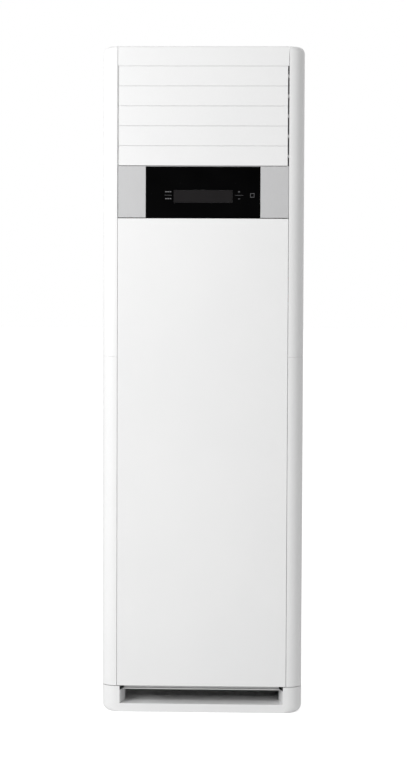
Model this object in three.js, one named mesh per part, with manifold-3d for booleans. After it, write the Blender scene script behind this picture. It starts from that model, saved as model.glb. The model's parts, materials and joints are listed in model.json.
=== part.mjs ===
// Floor standing air conditioner: the indoor unit of a split system, built from its separate pieces.
// Millimetres. +Z is up, the front faces -Y, +X is to the viewer's right, and the origin is the
// middle of the footprint.

import * as THREE from 'three';
import { mergeVertices } from 'three/addons/utils/BufferGeometryUtils.js';
import Module from 'manifold-3d';

const wasm = await Module();
wasm.setup();

// ---- driving sizes ----

const width = 550;
const depth = 418;
const height = 1824;
const wall = 2.6; // moulded casing wall
const sheet = 1.6; // folded sheet metal inside
const seat = 0.3; // gap left between pieces that touch
const seam = 0.9; // open seam between the front pieces

// casing outline
const frontCornerRadius = 40;
const backCornerRadius = 12;
const topCornerRadius = 18;
const footCornerRadius = 20;
const browRadius = 8; // along the front edge of the top
const columnWidth = 41.5; // seam to outer side, seen from the front
const rearTrayDepth = 14; // rear panels are shallow trays
const columnReturn = 12; // inward fold of a column at its front seam
const sideRibDepth = 7;
const sideRibCount = 4;
const pipeHoleSideInset = 105;
const pipeHoleHeight = 150;
const pipeHoleRadius = 36;

// heights, from the floor
const baseHeight = 73;
const columnSeamHeight = 980;
const stripHeight = 141; // control strip between the front panel and the louvers
const bandHeight = 54; // fixed band over the louvers

// base plinth slot
const slotFloorHeight = 23;
const slotEndInset = 8.5; // slot end to column seam
const slotCheekInset = 12;
const slotDepth = 30;
const slotLip = 6; // flat front edge before the ramp starts
const rampRise = 14;
const railDrop = 13; // how far the cross rail shows under the front panel
const railThickness = 3;
const railFoot = 9; // depth of the rail's turned-in lower edge

// front panel
const panelRimDepth = 14;
const panelRibDepth = 7;
const panelRibCount = 5;

// side intake grilles and filters
const grilleBottom = 124;
const grilleTop = 868;
const grilleFrontInset = 44; // from the front face to the grille
const grilleBackInset = 58; // from the back face to the grille
const grilleCornerRadius = 24;
const grilleGap = 0.8;
const grilleRecess = 0.4;
const grilleThickness = 3;
const grilleBorder = 16;
const grilleSlotPitch = 22;
const grilleSlotHeight = 12;
const grilleSlotDrop = 4; // how far a slot falls through the grille's thickness
const grilleRimDepth = 9;
const grillePull = 60; // free travel when it is pulled off
const filterThickness = 3.5;
const filterNet = 0.8;
const filterBar = 9;
const filterRows = 5;
const filterColumns = 2;

// louvers
const louverCount = 5;
const louverPitch = 54;
const louverGap = 1;
const louverEdge = 2.4; // thickness at its long edges
const louverBulge = 10.5; // thickness at its middle
const louverPivotInset = 8; // pivot line behind the front face
const louverEndGap = 3.9; // blade end to cheek
const bandGap = 1.3; // room for the top louver's corner under the fixed band
const cheekThickness = 2.2;
const cheekSetback = 3.5; // cheek edge behind the front face
const outletDepth = 105; // outlet frame, from the front face
const pivotPinRadius = 3;
const crankPinRadius = 1.6;
const pinClearance = 0.6;
const crankRadius = 20;
const crankAngle = 40; // degrees above level at rest
const leverThickness = 3;
const leverHalfWidth = 5;
const linkThickness = 2;
const linkHalfWidth = 4;
const linkArch = 24; // the link's branch passes this far over the crank shaft
const crankInset = 59; // crank shaft behind the front face
const motorRadius = 14;
const motorLength = 19;

// upright vanes
const vaneCount = 7;
const vaneLength = 50;
const vaneThickness = 3;
const vaneLead = 15; // in front of its pin
const vanePinRadius = 2.5;
const vaneTopGap = 7;
const vaneBottomGap = 8;
const vaneCrankReach = 28; // crank pin behind the vane's pin
const vaneLinkThickness = 3;
const vaneLinkGap = 1.2;
const deflectorThickness = 12;
const deflectorOverlap = 20; // below the outlet

// control strip
const trimInnerX = 156;
const stripThickness = 3;
const stripGap = 1.1; // dark seam over and under the strip
const windowHalfWidth = 80;
const windowBottom = 41; // from the strip's lower edge
const windowHeight = 34;
const carrierDepth = 9;
const boardThickness = 1.6;
const boardSideMargin = 20; // display board past the window
const boardTopMargin = 12;

// blower
const blowerZ = 470;
const blowerSideGap = 4; // scroll to inner uprights
const scrollFrontInset = 139; // from the front face
const scrollBackInset = 89; // from the back face
const scrollWall = 2;
const scrollGrowth = 0.0688; // per radian
const scrollTurn = 250; // degrees from tongue to the straight wall
const scrollSteps = 30;
const tongueAngle = 70; // degrees above level
const tongueGap = 20; // wheel to scroll at the tongue
const wheelSideGap = 20; // wheel to the scroll's front and back walls
const wheelBladeCount = 30;
const wheelBladeDepth = 25;
const wheelBladeThickness = 1.6;
const wheelBladeLean = 0.16; // forward curve at the rim, radians
const wheelRimThickness = 3;
const hubRadius = 22;
const hubLength = 40;
const shaftRadius = 6;
const shaftClearance = 0.3;
const nutThickness = 8;
const nutRadius = 12;
const inletRadius = 130;
const inletFlange = 172;
const inletBell = 12; // radius of the rounded mouth
const inletThroat = 4; // straight length behind the mouth
const inletSheet = 2;
const motorBodyRadius = 68;
const motorBodyLength = 66;
const motorFlangeWidth = 14;
const motorFlangeThickness = 5;
const motorBevel = 8;
const motorHoleRadius = 60;

// inner frame
const uprightWidth = 22;
const uprightDepth = 40;
const uprightSideGap = 21; // outer side of an upright to the casing's outer side
const shelfThickness = 2;
const shelfRise = 7; // over the column seam
const shelfFrontInset = 21;
const mountingPlateDrop = 262; // below the blower's axis

// coil
const coilEndRoom = 29; // from the fins to the inner uprights, for the return bends
const coilThickness = 48;
const coilFootInset = 69; // from the front face
const coilHeadInset = 59; // from the back face
const coilRise = 450; // head over foot
const finPitch = 16;
const finThickness = 9;
const finRoot = 30; // solid core between the fins, where the tubes run
const endPlateOverhang = 3;
const endTabHalf = 8;
const returnBendCount = 6;
const returnBendRadius = 12;
const copperRadius = 5;
const panHeight = 38;
const panWidth = 96;
const panLead = 34; // pan's front edge ahead of the coil's foot
const gasPipeRadius = 9.5;
const gasPipeInset = 149; // from the front face
const liquidPipeRadius = 4.8;
const liquidPipeInset = 179;
const pipeSideInset = 30; // pipe axes to the casing's outer side
const pipeFootHeight = 190;
const pipeDrop = 60; // slanted stretch from the coil to the upright run
const pipeBend = 16;
const drainRadius = 10;
const drainInset = 89; // from the front face
const drainSideInset = 26;
const drainBend = 12;

// electrical box
const boxSideGap = 52; // to the inner uprights
const boxHeight = 240;
const boxDepth = 62;
const boardMargin = 25;
const boardPost = 6;
const boardPostRadius = 3;
const transformerWidth = 60;
const transformerHeight = 50;
const transformerDepth = 34;
const capacitorRadius = 16;
const capacitorLength = 40;
const capacitorSpacing = 50;
const terminalLength = 200;
const terminalHeight = 20;
const terminalDepth = 16;

// ---- derived places ----

const front = -depth / 2;
const back = depth / 2;
const columnEdge = width / 2 - columnWidth;
const centreEdge = columnEdge - seam; // outer ends of the pieces between the columns
const bandBottom = height - bandHeight;
const outletBottom = bandBottom - louverCount * louverPitch;
const stripBottom = outletBottom - stripHeight;
const rearSeam = back - rearTrayDepth;
const cheekInner = centreEdge - cheekThickness;
const louverHalf = cheekInner - louverEndGap;
const louverPivotY = front + louverPivotInset;
const crankShaftY = front + crankInset;
const crankShaftZ = outletBottom + 2.5 * louverPitch;
const vanePivotY = crankShaftY;
const slotHalfWidth = columnEdge - slotEndInset;
const vanePitch = (2 * cheekInner) / (vaneCount + 0.3);
const uprightX = width / 2 - uprightSideGap;
const uprightInner = uprightX - uprightWidth;
const coilHalfWidth = uprightInner - coilEndRoom;
const coilFootY = front + coilFootInset;
const coilHeadY = back - coilHeadInset;
const pipeX = width / 2 - pipeSideInset;
const drainX = -width / 2 + drainSideInset;
const gasPipeY = front + gasPipeInset;
const liquidPipeY = front + liquidPipeInset;
const drainPipeY = front + drainInset;
const boxHalfWidth = uprightInner - boxSideGap;
const shelfTop = columnSeamHeight + shelfRise;
const shelfBottom = shelfTop - shelfThickness;
const scrollFront = front + scrollFrontInset;
const scrollBack = back - scrollBackInset;
const plateFront = scrollBack + seat;
const plateBack = plateFront + sheet;

// ---- colours ----

function paint(name, color, roughness, metalness = 0) {
  const material = new THREE.MeshStandardMaterial({ color, roughness, metalness });
  material.name = name;
  return material;
}

const whiteCasing = paint('white_casing', 0xf4f4f3, 0.35);
const innerPlastic = paint('inner_plastic', 0xb9bbbc, 0.6);
const silverTrim = paint('silver_trim', 0xc9cacb, 0.35, 0.7);
const blackGlass = paint('black_glass', 0x08080a, 0.08);
const smokedLens = paint('smoked_lens', 0x26272a, 0.2);
const darkPlastic = paint('dark_plastic', 0x2b2c2e, 0.55);
const galvanised = paint('galvanised', 0xa9adb0, 0.4, 0.9);
const filterNetting = paint('filter_netting', 0x5c6468, 0.8);
const circuitBoard = paint('circuit_board', 0x1f5a38, 0.5);
const finMetal = paint('fin_metal', 0xc7ccd0, 0.35, 0.9);
const copper = paint('copper', 0xb87349, 0.35, 0.9);
const foam = paint('foam', 0xe6e6e2, 0.9);
const motorMetal = paint('motor_metal', 0x70757a, 0.45, 0.8);
const wheelPlastic = paint('wheel_plastic', 0x4a4e52, 0.5);

// ---- solids ----

function solidOf(geometry) {
  geometry.deleteAttribute('normal');
  geometry.deleteAttribute('uv');
  const merged = mergeVertices(geometry, 1e-4);
  const vertProperties = new Float32Array(merged.attributes.position.array);
  const triVerts = new Uint32Array(merged.index.array);
  return new wasm.Manifold(new wasm.Mesh({ numProp: 3, vertProperties, triVerts }));
}

function join(...solids) {
  return solids.reduce((whole, next) => whole.add(next));
}

function cut(solid, ...tools) {
  return tools.reduce((left, tool) => left.subtract(tool), solid);
}

function block(x0, x1, y0, y1, z0, z1) {
  const geometry = new THREE.BoxGeometry(x1 - x0, y1 - y0, z1 - z0);
  geometry.translate((x0 + x1) / 2, (y0 + y1) / 2, (z0 + z1) / 2);
  return solidOf(geometry);
}

// A flat shape drawn in (x, y), (x, z) or (y, z), extruded along the third axis.
function extrude(shape, axis, from, to, curveSegments = 4) {
  const geometry = new THREE.ExtrudeGeometry(shape, { depth: to - from, bevelEnabled: false, curveSegments });
  const turn = new THREE.Matrix4();
  if (axis === 'x') turn.set(0, 0, 1, from, 1, 0, 0, 0, 0, 1, 0, 0, 0, 0, 0, 1);
  if (axis === 'y') turn.set(1, 0, 0, 0, 0, 0, -1, to, 0, 1, 0, 0, 0, 0, 0, 1);
  if (axis === 'z') turn.makeTranslation(0, 0, from);
  geometry.applyMatrix4(turn);
  return solidOf(geometry);
}

function polygon(points) {
  return new THREE.Shape(points.map(([u, v]) => new THREE.Vector2(u, v)));
}

// A rectangle with its own radius at each corner: low-low, high-low, high-high, low-high.
function roundedRect(u0, u1, v0, v1, radii) {
  const [a, b, c, d] = radii;
  const shape = new THREE.Shape();
  shape.moveTo(u0 + a, v0);
  shape.lineTo(u1 - b, v0);
  if (b > 0) shape.absarc(u1 - b, v0 + b, b, -Math.PI / 2, 0);
  shape.lineTo(u1, v1 - c);
  if (c > 0) shape.absarc(u1 - c, v1 - c, c, 0, Math.PI / 2);
  shape.lineTo(u0 + d, v1);
  if (d > 0) shape.absarc(u0 + d, v1 - d, d, Math.PI / 2, Math.PI);
  shape.lineTo(u0, v0 + a);
  if (a > 0) shape.absarc(u0 + a, v0 + a, a, Math.PI, 1.5 * Math.PI);
  return shape;
}

function disc(u, v, radius) {
  const shape = new THREE.Shape();
  shape.absarc(u, v, radius, 0, 2 * Math.PI);
  return shape;
}

// A round pin along an axis; u and v are its centre in the plane across that axis.
function pin(axis, u, v, radius, from, to, curveSegments = 4) {
  return extrude(disc(u, v, radius), axis, from, to, curveSegments);
}

function mesh(name, solid, material) {
  const { vertProperties, triVerts } = solid.getMesh();
  const geometry = new THREE.BufferGeometry();
  geometry.setAttribute('position', new THREE.BufferAttribute(vertProperties, 3));
  geometry.setIndex(new THREE.BufferAttribute(triVerts, 1));
  geometry.computeVertexNormals();
  const object = new THREE.Mesh(geometry, material);
  object.name = name;
  return object;
}

// The same piece for the other side of the unit.
function mirrored(object, name) {
  const copy = object.clone();
  copy.name = name;
  copy.scale.x = -1;
  return copy;
}

const part = new THREE.Group();
part.name = 'floor_standing_air_conditioner';

// ---- casing ----

// The closed outer form, or the same form drawn in by an inset: the plan outline, the front
// outline and the side outline, each extruded and then crossed.
function casingForm(inset) {
  const planRadii = [frontCornerRadius, frontCornerRadius, backCornerRadius, backCornerRadius];
  const faceRadii = [footCornerRadius, footCornerRadius, topCornerRadius, topCornerRadius];
  const drawnIn = (radii) => radii.map((radius) => Math.max(radius - inset, 0));
  const half = width / 2 - inset;
  const plan = roundedRect(-half, half, front + inset, back - inset, drawnIn(planRadii));
  const face = roundedRect(-half, half, inset, height - inset, drawnIn(faceRadii));
  const brow = Math.max(browRadius - inset, 0);
  const side = roundedRect(front + inset, back - inset, inset, height - inset, [0, 0, 0, brow]);
  const upright = extrude(plan, 'z', inset, height - inset, 4);
  const across = extrude(face, 'y', front + inset, back - inset, 3);
  const along = extrude(side, 'x', -half, half, 2);
  return upright.intersect(across).intersect(along);
}

const casingOuter = casingForm(0);
const casingInner = casingForm(wall);
const casingShell = casingOuter.subtract(casingInner);

function columnReturnFlange(bottom, top) {
  const start = front + wall / 2;
  return block(columnEdge, columnEdge + wall, start, front + wall + columnReturn, bottom, top);
}

function upperSidePanel() {
  const bottom = columnSeamHeight + seat / 2;
  const region = block(columnEdge, width, front - 1, rearSeam - seat / 2, bottom, height + 1);
  let panel = casingShell.intersect(region);
  panel = panel.add(columnReturnFlange(bottom, height - wall / 2));
  const ribForm = casingInner.subtract(casingForm(wall + sideRibDepth));
  const ribStep = (height - columnSeamHeight) / (sideRibCount + 1);
  for (let i = 1; i <= sideRibCount; i += 1) {
    const z = columnSeamHeight + i * ribStep;
    const inner = columnEdge + wall / 2;
    const slab = block(inner, width, front, rearSeam - rearTrayDepth, z, z + wall);
    const rib = ribForm.intersect(slab);
    panel = panel.add(rib);
  }
  return panel;
}

function grilleOutline(grow) {
  const radius = grilleCornerRadius + grow;
  return roundedRect(
    front + grilleFrontInset - grow,
    back - grilleBackInset + grow,
    grilleBottom - grow,
    grilleTop + grow,
    [radius, radius, radius, radius],
  );
}

function lowerSidePanel() {
  const top = columnSeamHeight - seat / 2;
  const region = block(columnEdge, width, front - 1, rearSeam - seat / 2, baseHeight, top);
  const opening = extrude(grilleOutline(grilleGap), 'x', width / 2 - wall * 2, width, 3);
  return join(casingShell.intersect(region), columnReturnFlange(baseHeight, top)).subtract(opening);
}

function sideIntakeGrille() {
  const outer = width / 2 - grilleRecess;
  const inner = outer - grilleThickness;
  let grille = extrude(grilleOutline(0), 'x', inner, outer, 3);
  const rim = cut(
    extrude(grilleOutline(-1), 'x', inner - grilleRimDepth, inner + 1, 2),
    extrude(grilleOutline(-1 - wall), 'x', inner - grilleRimDepth - 1, inner, 2),
  );
  const slotFront = front + grilleFrontInset + grilleBorder;
  const slotBack = back - grilleBackInset - grilleBorder;
  const room = grilleTop - grilleBottom - 2 * grilleBorder;
  const count = Math.floor(room / grilleSlotPitch);
  const first = (grilleTop + grilleBottom - (count - 1) * grilleSlotPitch) / 2;
  const slots = [];
  for (let i = 0; i < count; i += 1) {
    const z = first + i * grilleSlotPitch - grilleSlotHeight / 2;
    slots.push(extrude(polygon([
      [inner - 1, z + grilleSlotDrop],
      [outer + 1, z],
      [outer + 1, z + grilleSlotHeight],
      [inner - 1, z + grilleSlotHeight + grilleSlotDrop],
    ]), 'y', slotFront, slotBack));
  }
  grille = cut(grille, ...slots);
  return join(grille, rim);
}

function airFilter() {
  const outer = width / 2 - grilleRecess - grilleThickness - seat;
  const inner = outer - filterThickness;
  const edge = 1 + wall + seat;
  const y0 = front + grilleFrontInset + edge;
  const y1 = back - grilleBackInset - edge;
  const z0 = grilleBottom + edge;
  const z1 = grilleTop - edge;
  const radius = grilleCornerRadius - edge;
  const outline = roundedRect(y0, y1, z0, z1, [radius, radius, radius, radius]);
  const frame = extrude(outline, 'x', inner, outer, 2);
  const cellWidth = (y1 - y0 - filterBar) / filterColumns;
  const cellHeight = (z1 - z0 - filterBar) / filterRows;
  const pockets = [];
  for (let row = 0; row < filterRows; row += 1) {
    for (let column = 0; column < filterColumns; column += 1) {
      const y = y0 + filterBar + column * cellWidth;
      const z = z0 + filterBar + row * cellHeight;
      const [cellEnd, cellTop] = [y + cellWidth - filterBar, z + cellHeight - filterBar];
      pockets.push(block(inner - 1, outer - filterNet, y, cellEnd, z, cellTop));
    }
  }
  return cut(frame, ...pockets);
}

function topCover() {
  const region = block(-centreEdge, centreEdge, front + outletDepth + seat, rearSeam - seat / 2,
    height - wall, height + 1);
  const plate = casingShell.intersect(region);
  const lipInner = centreEdge - wall;
  const lipFront = front + outletDepth + seat;
  const lips = [-1, 1].map((side) => {
    const x0 = Math.min(side * centreEdge, side * lipInner);
    const lipBottom = height - wall - columnReturn;
    return block(x0, x0 + wall, lipFront, rearSeam - seat / 2, lipBottom, height - wall / 2);
  });
  return join(plate, ...lips);
}

function rearPanel(bottom, top, pipeHole) {
  const region = block(-width, width, rearSeam + seat / 2, back + 1, bottom, top);
  const tray = casingShell.intersect(region);
  const cutters = [];
  if (pipeHole) cutters.push(pin('y', pipeHole.x, pipeHole.z, pipeHole.radius, rearSeam, back + 1));
  return cut(tray, ...cutters);
}

// Plan of the front slot between its slanted cheeks, moved outward by grow.
function slotPlan(grow, from, to) {
  const mouthHalf = slotHalfWidth + grow;
  const endHalf = slotHalfWidth - slotCheekInset + grow;
  return polygon([
    [-mouthHalf, from],
    [mouthHalf, from],
    [mouthHalf, front + wall],
    [endHalf, front + slotDepth],
    [endHalf, to],
    [-endHalf, to],
    [-endHalf, front + slotDepth],
    [-mouthHalf, front + wall],
  ]);
}

// The plinth is a tub. Its front slot has slanted cheeks at the ends and a ramp that leads in.
function basePlinth() {
  const top = baseHeight - seat;
  const tub = casingShell.intersect(block(-width, width, front - 1, back + 1, -1, top));
  const slotBack = front + slotDepth;
  const ramp = polygon([
    [front - 1, -1],
    [front + slotLip, -1],
    [slotBack + 2, -1],
    [slotBack + 2, slotFloorHeight + rampRise],
    [front + slotLip, slotFloorHeight],
    [front - 1, slotFloorHeight],
  ]);
  const underRamp = polygon([
    [front + wall, -2],
    [slotBack + 3, -2],
    [slotBack + 3, slotFloorHeight + rampRise - wall],
    [front + slotLip, slotFloorHeight - wall],
    [front + wall, slotFloorHeight - wall],
  ]);
  const rampForm = extrude(ramp, 'x', -width / 2, width / 2);
  const hollow = extrude(underRamp, 'x', -width / 2, width / 2);
  const linerRoom = block(-width / 2, width / 2, front + wall / 2, slotBack, wall / 2, top);
  const linerForm = extrude(slotPlan(wall, front, slotBack + 1), 'z', 0, height).intersect(linerRoom);
  const mouthForm = extrude(slotPlan(0, front - 1, slotBack + 1), 'z', -5, height);
  const mouthCut = mouthForm.subtract(rampForm);
  const cheeksAndRamp = cut(linerForm, mouthCut, mouthForm.intersect(hollow));
  return cut(tub, mouthCut).add(cheeksAndRamp);
}

function frontCrossRail() {
  const railBack = front + slotDepth;
  const bottom = baseHeight - railDrop;
  const web = block(-width, width, railBack - railThickness, railBack, bottom, baseHeight - seat);
  const footFront = railBack - railFoot;
  const foot = block(-width, width, footFront, railBack - railThickness / 2, bottom, bottom + railThickness);
  const between = extrude(slotPlan(-seat, front, railBack + 1), 'z', 0, baseHeight);
  return join(web, foot).intersect(between);
}

function lowerFrontPanel() {
  const bottom = baseHeight;
  const top = stripBottom - stripGap;
  const face = block(-centreEdge, centreEdge, front, front + wall, bottom, top);
  const rimBack = front + panelRimDepth;
  const rim = cut(
    block(-centreEdge, centreEdge, front + wall / 2, rimBack, bottom, top),
    block(-centreEdge + wall, centreEdge - wall, front, rimBack + 1, bottom + wall, top - wall),
  );
  const ribStep = (top - bottom) / (panelRibCount + 1);
  const ribs = [];
  for (let i = 1; i <= panelRibCount; i += 1) {
    const z = bottom + i * ribStep;
    const half = centreEdge - wall / 2;
    ribs.push(block(-half, half, front + wall / 2, front + wall + panelRibDepth, z, z + wall));
  }
  return join(face, rim, ...ribs);
}

const pipeHole = { x: pipeHoleSideInset - width / 2, z: pipeHoleHeight, radius: pipeHoleRadius };
const upperRight = mesh('upper_side_panel_right', upperSidePanel(), whiteCasing);
const lowerRight = mesh('lower_side_panel_right', lowerSidePanel(), whiteCasing);
const grilleRight = mesh('side_intake_grille_right', sideIntakeGrille(), whiteCasing);
const filterRight = mesh('air_filter_right', airFilter(), filterNetting);

part.add(
  mesh('base_plinth', basePlinth(), whiteCasing),
  mesh('front_cross_rail', frontCrossRail(), whiteCasing),
  mesh('lower_front_panel', lowerFrontPanel(), whiteCasing),
  mesh('top_cover', topCover(), whiteCasing),
  mesh('rear_panel_lower', rearPanel(baseHeight, columnSeamHeight - seat / 2, pipeHole), whiteCasing),
  mesh('rear_panel_upper', rearPanel(columnSeamHeight + seat / 2, height + 1, null), whiteCasing),
  upperRight,
  mirrored(upperRight, 'upper_side_panel_left'),
  lowerRight,
  mirrored(lowerRight, 'lower_side_panel_left'),
  grilleRight,
  mirrored(grilleRight, 'side_intake_grille_left'),
  filterRight,
  mirrored(filterRight, 'air_filter_left'),
);

// ---- outlet: frame, louvers and their linkage ----

const louverPivots = [];
for (let i = 0; i < louverCount; i += 1) {
  louverPivots.push(outletBottom + (i + 0.5) * louverPitch);
}
const crankReach = {
  y: crankRadius * Math.cos(THREE.MathUtils.degToRad(crankAngle)),
  z: crankRadius * Math.sin(THREE.MathUtils.degToRad(crankAngle)),
};
const shelfUnderLouvers = outletBottom - louverGap;
const shelfOverLouvers = bandBottom + bandGap;
const outletRear = front + outletDepth;
const vaneXs = [];
for (let i = 0; i < vaneCount; i += 1) {
  vaneXs.push((i - (vaneCount - 1) / 2) * vanePitch);
}

function outletFrame() {
  const cheekFront = front + cheekSetback;
  const bandRegion = block(-centreEdge, centreEdge, front - 1, outletRear, shelfOverLouvers, height + 1);
  const band = casingShell.intersect(bandRegion);
  const topShelf = block(-centreEdge, centreEdge, front + wall / 2, outletRear, shelfOverLouvers,
    shelfOverLouvers + wall);
  const bottomShelf = block(-centreEdge, centreEdge, cheekFront, outletRear, shelfUnderLouvers - wall,
    shelfUnderLouvers);
  const cheeks = [-centreEdge, cheekInner].map((x) => (
    block(x, x + cheekThickness, cheekFront, outletRear, shelfUnderLouvers - wall / 2, height - wall / 2)
  ));
  const holes = [];
  const pivotHole = pivotPinRadius + pinClearance;
  louverPivots.forEach((z) => {
    holes.push(pin('x', louverPivotY, z, pivotHole, -width / 2, width / 2));
  });
  holes.push(pin('x', crankShaftY, crankShaftZ, pivotHole, 0, width / 2));
  vaneXs.forEach((x) => {
    holes.push(pin('z', x, vanePivotY, vanePinRadius + pinClearance, shelfUnderLouvers - 2 * wall,
      shelfOverLouvers + 2 * wall));
  });
  return cut(join(band, topShelf, bottomShelf, ...cheeks), ...holes);
}

// A lever on the blade's right end: it reaches up and back from the pivot to its crank pin.
function lever(pivotY, pivotZ) {
  const crankY = pivotY + crankReach.y;
  const crankZ = pivotZ + crankReach.z;
  const across = new THREE.Vector2(-crankReach.z, crankReach.y).setLength(leverHalfWidth);
  const arm = polygon([
    [pivotY - across.x, pivotZ - across.y],
    [crankY - across.x, crankZ - across.y],
    [crankY + across.x, crankZ + across.y],
    [pivotY + across.x, pivotZ + across.y],
  ]);
  const from = louverHalf - leverThickness;
  return join(
    extrude(arm, 'x', from, louverHalf),
    pin('x', crankY, crankZ, leverHalfWidth, from, louverHalf),
    pin('x', pivotY, pivotZ, leverHalfWidth, from, louverHalf),
    pin('x', crankY, crankZ, crankPinRadius, louverHalf - 1, cheekInner - seat),
  );
}

function louver(z) {
  const halfHeight = (louverPitch - louverGap) / 2;
  const section = new THREE.Shape();
  section.moveTo(front, z - halfHeight);
  section.lineTo(front + louverEdge, z - halfHeight);
  section.quadraticCurveTo(front + 2 * louverBulge - louverEdge, z, front + louverEdge, z + halfHeight);
  section.lineTo(front, z + halfHeight);
  const blade = extrude(section, 'x', -louverHalf, louverHalf, 6);
  return join(
    blade,
    lever(louverPivotY, z),
    pin('x', louverPivotY, z, pivotPinRadius, -centreEdge, -louverHalf + 1),
    pin('x', louverPivotY, z, pivotPinRadius, louverHalf - 1, centreEdge),
  );
}

// The flat link that joins the five levers, with an arched branch over the crank shaft.
function louverLink() {
  const from = louverHalf + (cheekInner - louverHalf - linkThickness) / 2;
  const to = from + linkThickness;
  const barY = louverPivotY + crankReach.y;
  const endGap = linkHalfWidth + 1;
  const low = louverPivots[0] + crankReach.z - endGap;
  const high = louverPivots[louverCount - 1] + crankReach.z + endGap;
  const branchY = crankShaftY + crankReach.y;
  const branchZ = crankShaftZ + crankReach.z;
  const archZ = branchZ + linkArch;
  const shape = polygon([
    [barY - linkHalfWidth, low],
    [barY + linkHalfWidth, low],
    [barY + linkHalfWidth, archZ - linkHalfWidth],
    [branchY - linkHalfWidth, archZ - linkHalfWidth],
    [branchY - linkHalfWidth, branchZ - endGap],
    [branchY + linkHalfWidth, branchZ - endGap],
    [branchY + linkHalfWidth, archZ + linkHalfWidth],
    [barY + linkHalfWidth, archZ + linkHalfWidth],
    [barY + linkHalfWidth, high],
    [barY - linkHalfWidth, high],
  ]);
  const holeRadius = crankPinRadius + pinClearance;
  const holes = louverPivots.map((z) => pin('x', barY, z + crankReach.z, holeRadius, from - 1, to + 1));
  holes.push(pin('x', branchY, branchZ, holeRadius, from - 1, to + 1));
  return cut(extrude(shape, 'x', from, to), ...holes);
}

const motorStub = 6; // shaft length inside a stepper motor

function louverCrank() {
  return join(
    lever(crankShaftY, crankShaftZ),
    pin('x', crankShaftY, crankShaftZ, pivotPinRadius, louverHalf - 1, centreEdge + motorStub),
  );
}

function stepperMotor(axis, u, v, from, to, boreFrom, boreTo) {
  const body = pin(axis, u, v, motorRadius, from, to, 10);
  return body.subtract(pin(axis, u, v, pivotPinRadius + pinClearance, boreFrom, boreTo));
}

// ---- outlet: upright vanes and their linkage ----

const vaneBottom = shelfUnderLouvers + vaneBottomGap;
const vaneTop = shelfOverLouvers - vaneTopGap;
const vaneLinkTop = vaneBottom - vaneLinkGap;
const vaneLinkBottom = vaneLinkTop - vaneLinkThickness;
const middleVane = (vaneCount - 1) / 2;

function vane(x, driven) {
  const nose = vanePivotY - vaneLead;
  const tail = nose + vaneLength;
  const half = vaneThickness / 2;
  const outline = new THREE.Shape();
  outline.moveTo(x - half / 2, tail);
  outline.lineTo(x - half, vanePivotY);
  outline.quadraticCurveTo(x - half, nose, x, nose);
  outline.quadraticCurveTo(x + half, nose, x + half, vanePivotY);
  outline.lineTo(x + half / 2, tail);
  const pinFoot = driven ? shelfUnderLouvers - wall - motorStub : shelfUnderLouvers - wall - seat;
  return join(
    extrude(outline, 'z', vaneBottom, vaneTop, 3),
    pin('z', x, vanePivotY, vanePinRadius, pinFoot, vaneTop - 1),
    pin('z', x, vanePivotY, vanePinRadius, vaneTop - 2, shelfOverLouvers + wall),
    pin('z', x, vanePivotY + vaneCrankReach, crankPinRadius, vaneLinkBottom - seat, vaneBottom + 5),
  );
}

function vaneLink() {
  const y = vanePivotY + vaneCrankReach;
  const half = vaneXs[vaneCount - 1] + linkHalfWidth + 1;
  const bar = block(-half, half, y - linkHalfWidth, y + linkHalfWidth, vaneLinkBottom, vaneLinkTop);
  const holes = vaneXs.map((x) => (
    pin('z', x, y, crankPinRadius + pinClearance, vaneLinkBottom - 1, vaneLinkTop + 1)
  ));
  return cut(bar, ...holes);
}

// A thick curved liner that turns the rising air forward, from the rear wall to the outlet frame.
function airDeflector() {
  const foot = outletBottom - deflectorOverlap;
  const rear = back - wall - seat;
  const nose = outletRear + seat;
  const top = shelfOverLouvers + wall;
  const shape = new THREE.Shape();
  shape.moveTo(rear, foot);
  shape.quadraticCurveTo(rear, top, nose, top);
  shape.lineTo(nose, top - deflectorThickness);
  const face = rear - deflectorThickness;
  shape.quadraticCurveTo(face, top - deflectorThickness, face, foot);
  const half = uprightInner - seat;
  return extrude(shape, 'x', -half, half, 8);
}

part.add(
  mesh('outlet_frame', outletFrame(), whiteCasing),
  mesh('louver_link', louverLink(), innerPlastic),
  mesh('louver_crank', louverCrank(), innerPlastic),
  mesh('louver_motor', stepperMotor('x', crankShaftY, crankShaftZ, centreEdge + seat,
    centreEdge + seat + motorLength, centreEdge, centreEdge + motorStub + 1), motorMetal),
  mesh('vane_link', vaneLink(), innerPlastic),
  mesh('vane_motor', stepperMotor('z', vaneXs[middleVane], vanePivotY,
    shelfUnderLouvers - wall - seat - motorLength, shelfUnderLouvers - wall - seat,
    shelfUnderLouvers - wall - motorStub - 1, shelfUnderLouvers - wall), motorMetal),
  mesh('air_deflector', airDeflector(), foam),
);
louverPivots.forEach((z, i) => {
  part.add(mesh(`louver_${i + 1}`, louver(z), whiteCasing));
});
vaneXs.forEach((x, i) => {
  part.add(mesh(`vane_${i + 1}`, vane(x, i === middleVane), innerPlastic));
});

// ---- control strip ----

const stripLow = stripBottom;
const stripHigh = outletBottom - stripGap;
const stripBackY = front + stripThickness;
const windowLow = stripBottom + windowBottom;
const windowHigh = windowLow + windowHeight;

function displayTrim() {
  return block(trimInnerX + seat, centreEdge, front, stripBackY, stripLow, stripHigh);
}

function controlGlass() {
  const glass = block(-trimInnerX, trimInnerX, front, stripBackY, stripLow, stripHigh);
  const window = block(-windowHalfWidth - seat, windowHalfWidth + seat, front - 1, stripBackY + 1,
    windowLow - seat, windowHigh + seat);
  return cut(glass, window);
}

function displayWindow() {
  return block(-windowHalfWidth, windowHalfWidth, front, stripBackY, windowLow, windowHigh);
}

const carrierFront = stripBackY + seat;
const carrierBack = carrierFront + carrierDepth;
const digitsInset = 8;

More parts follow.
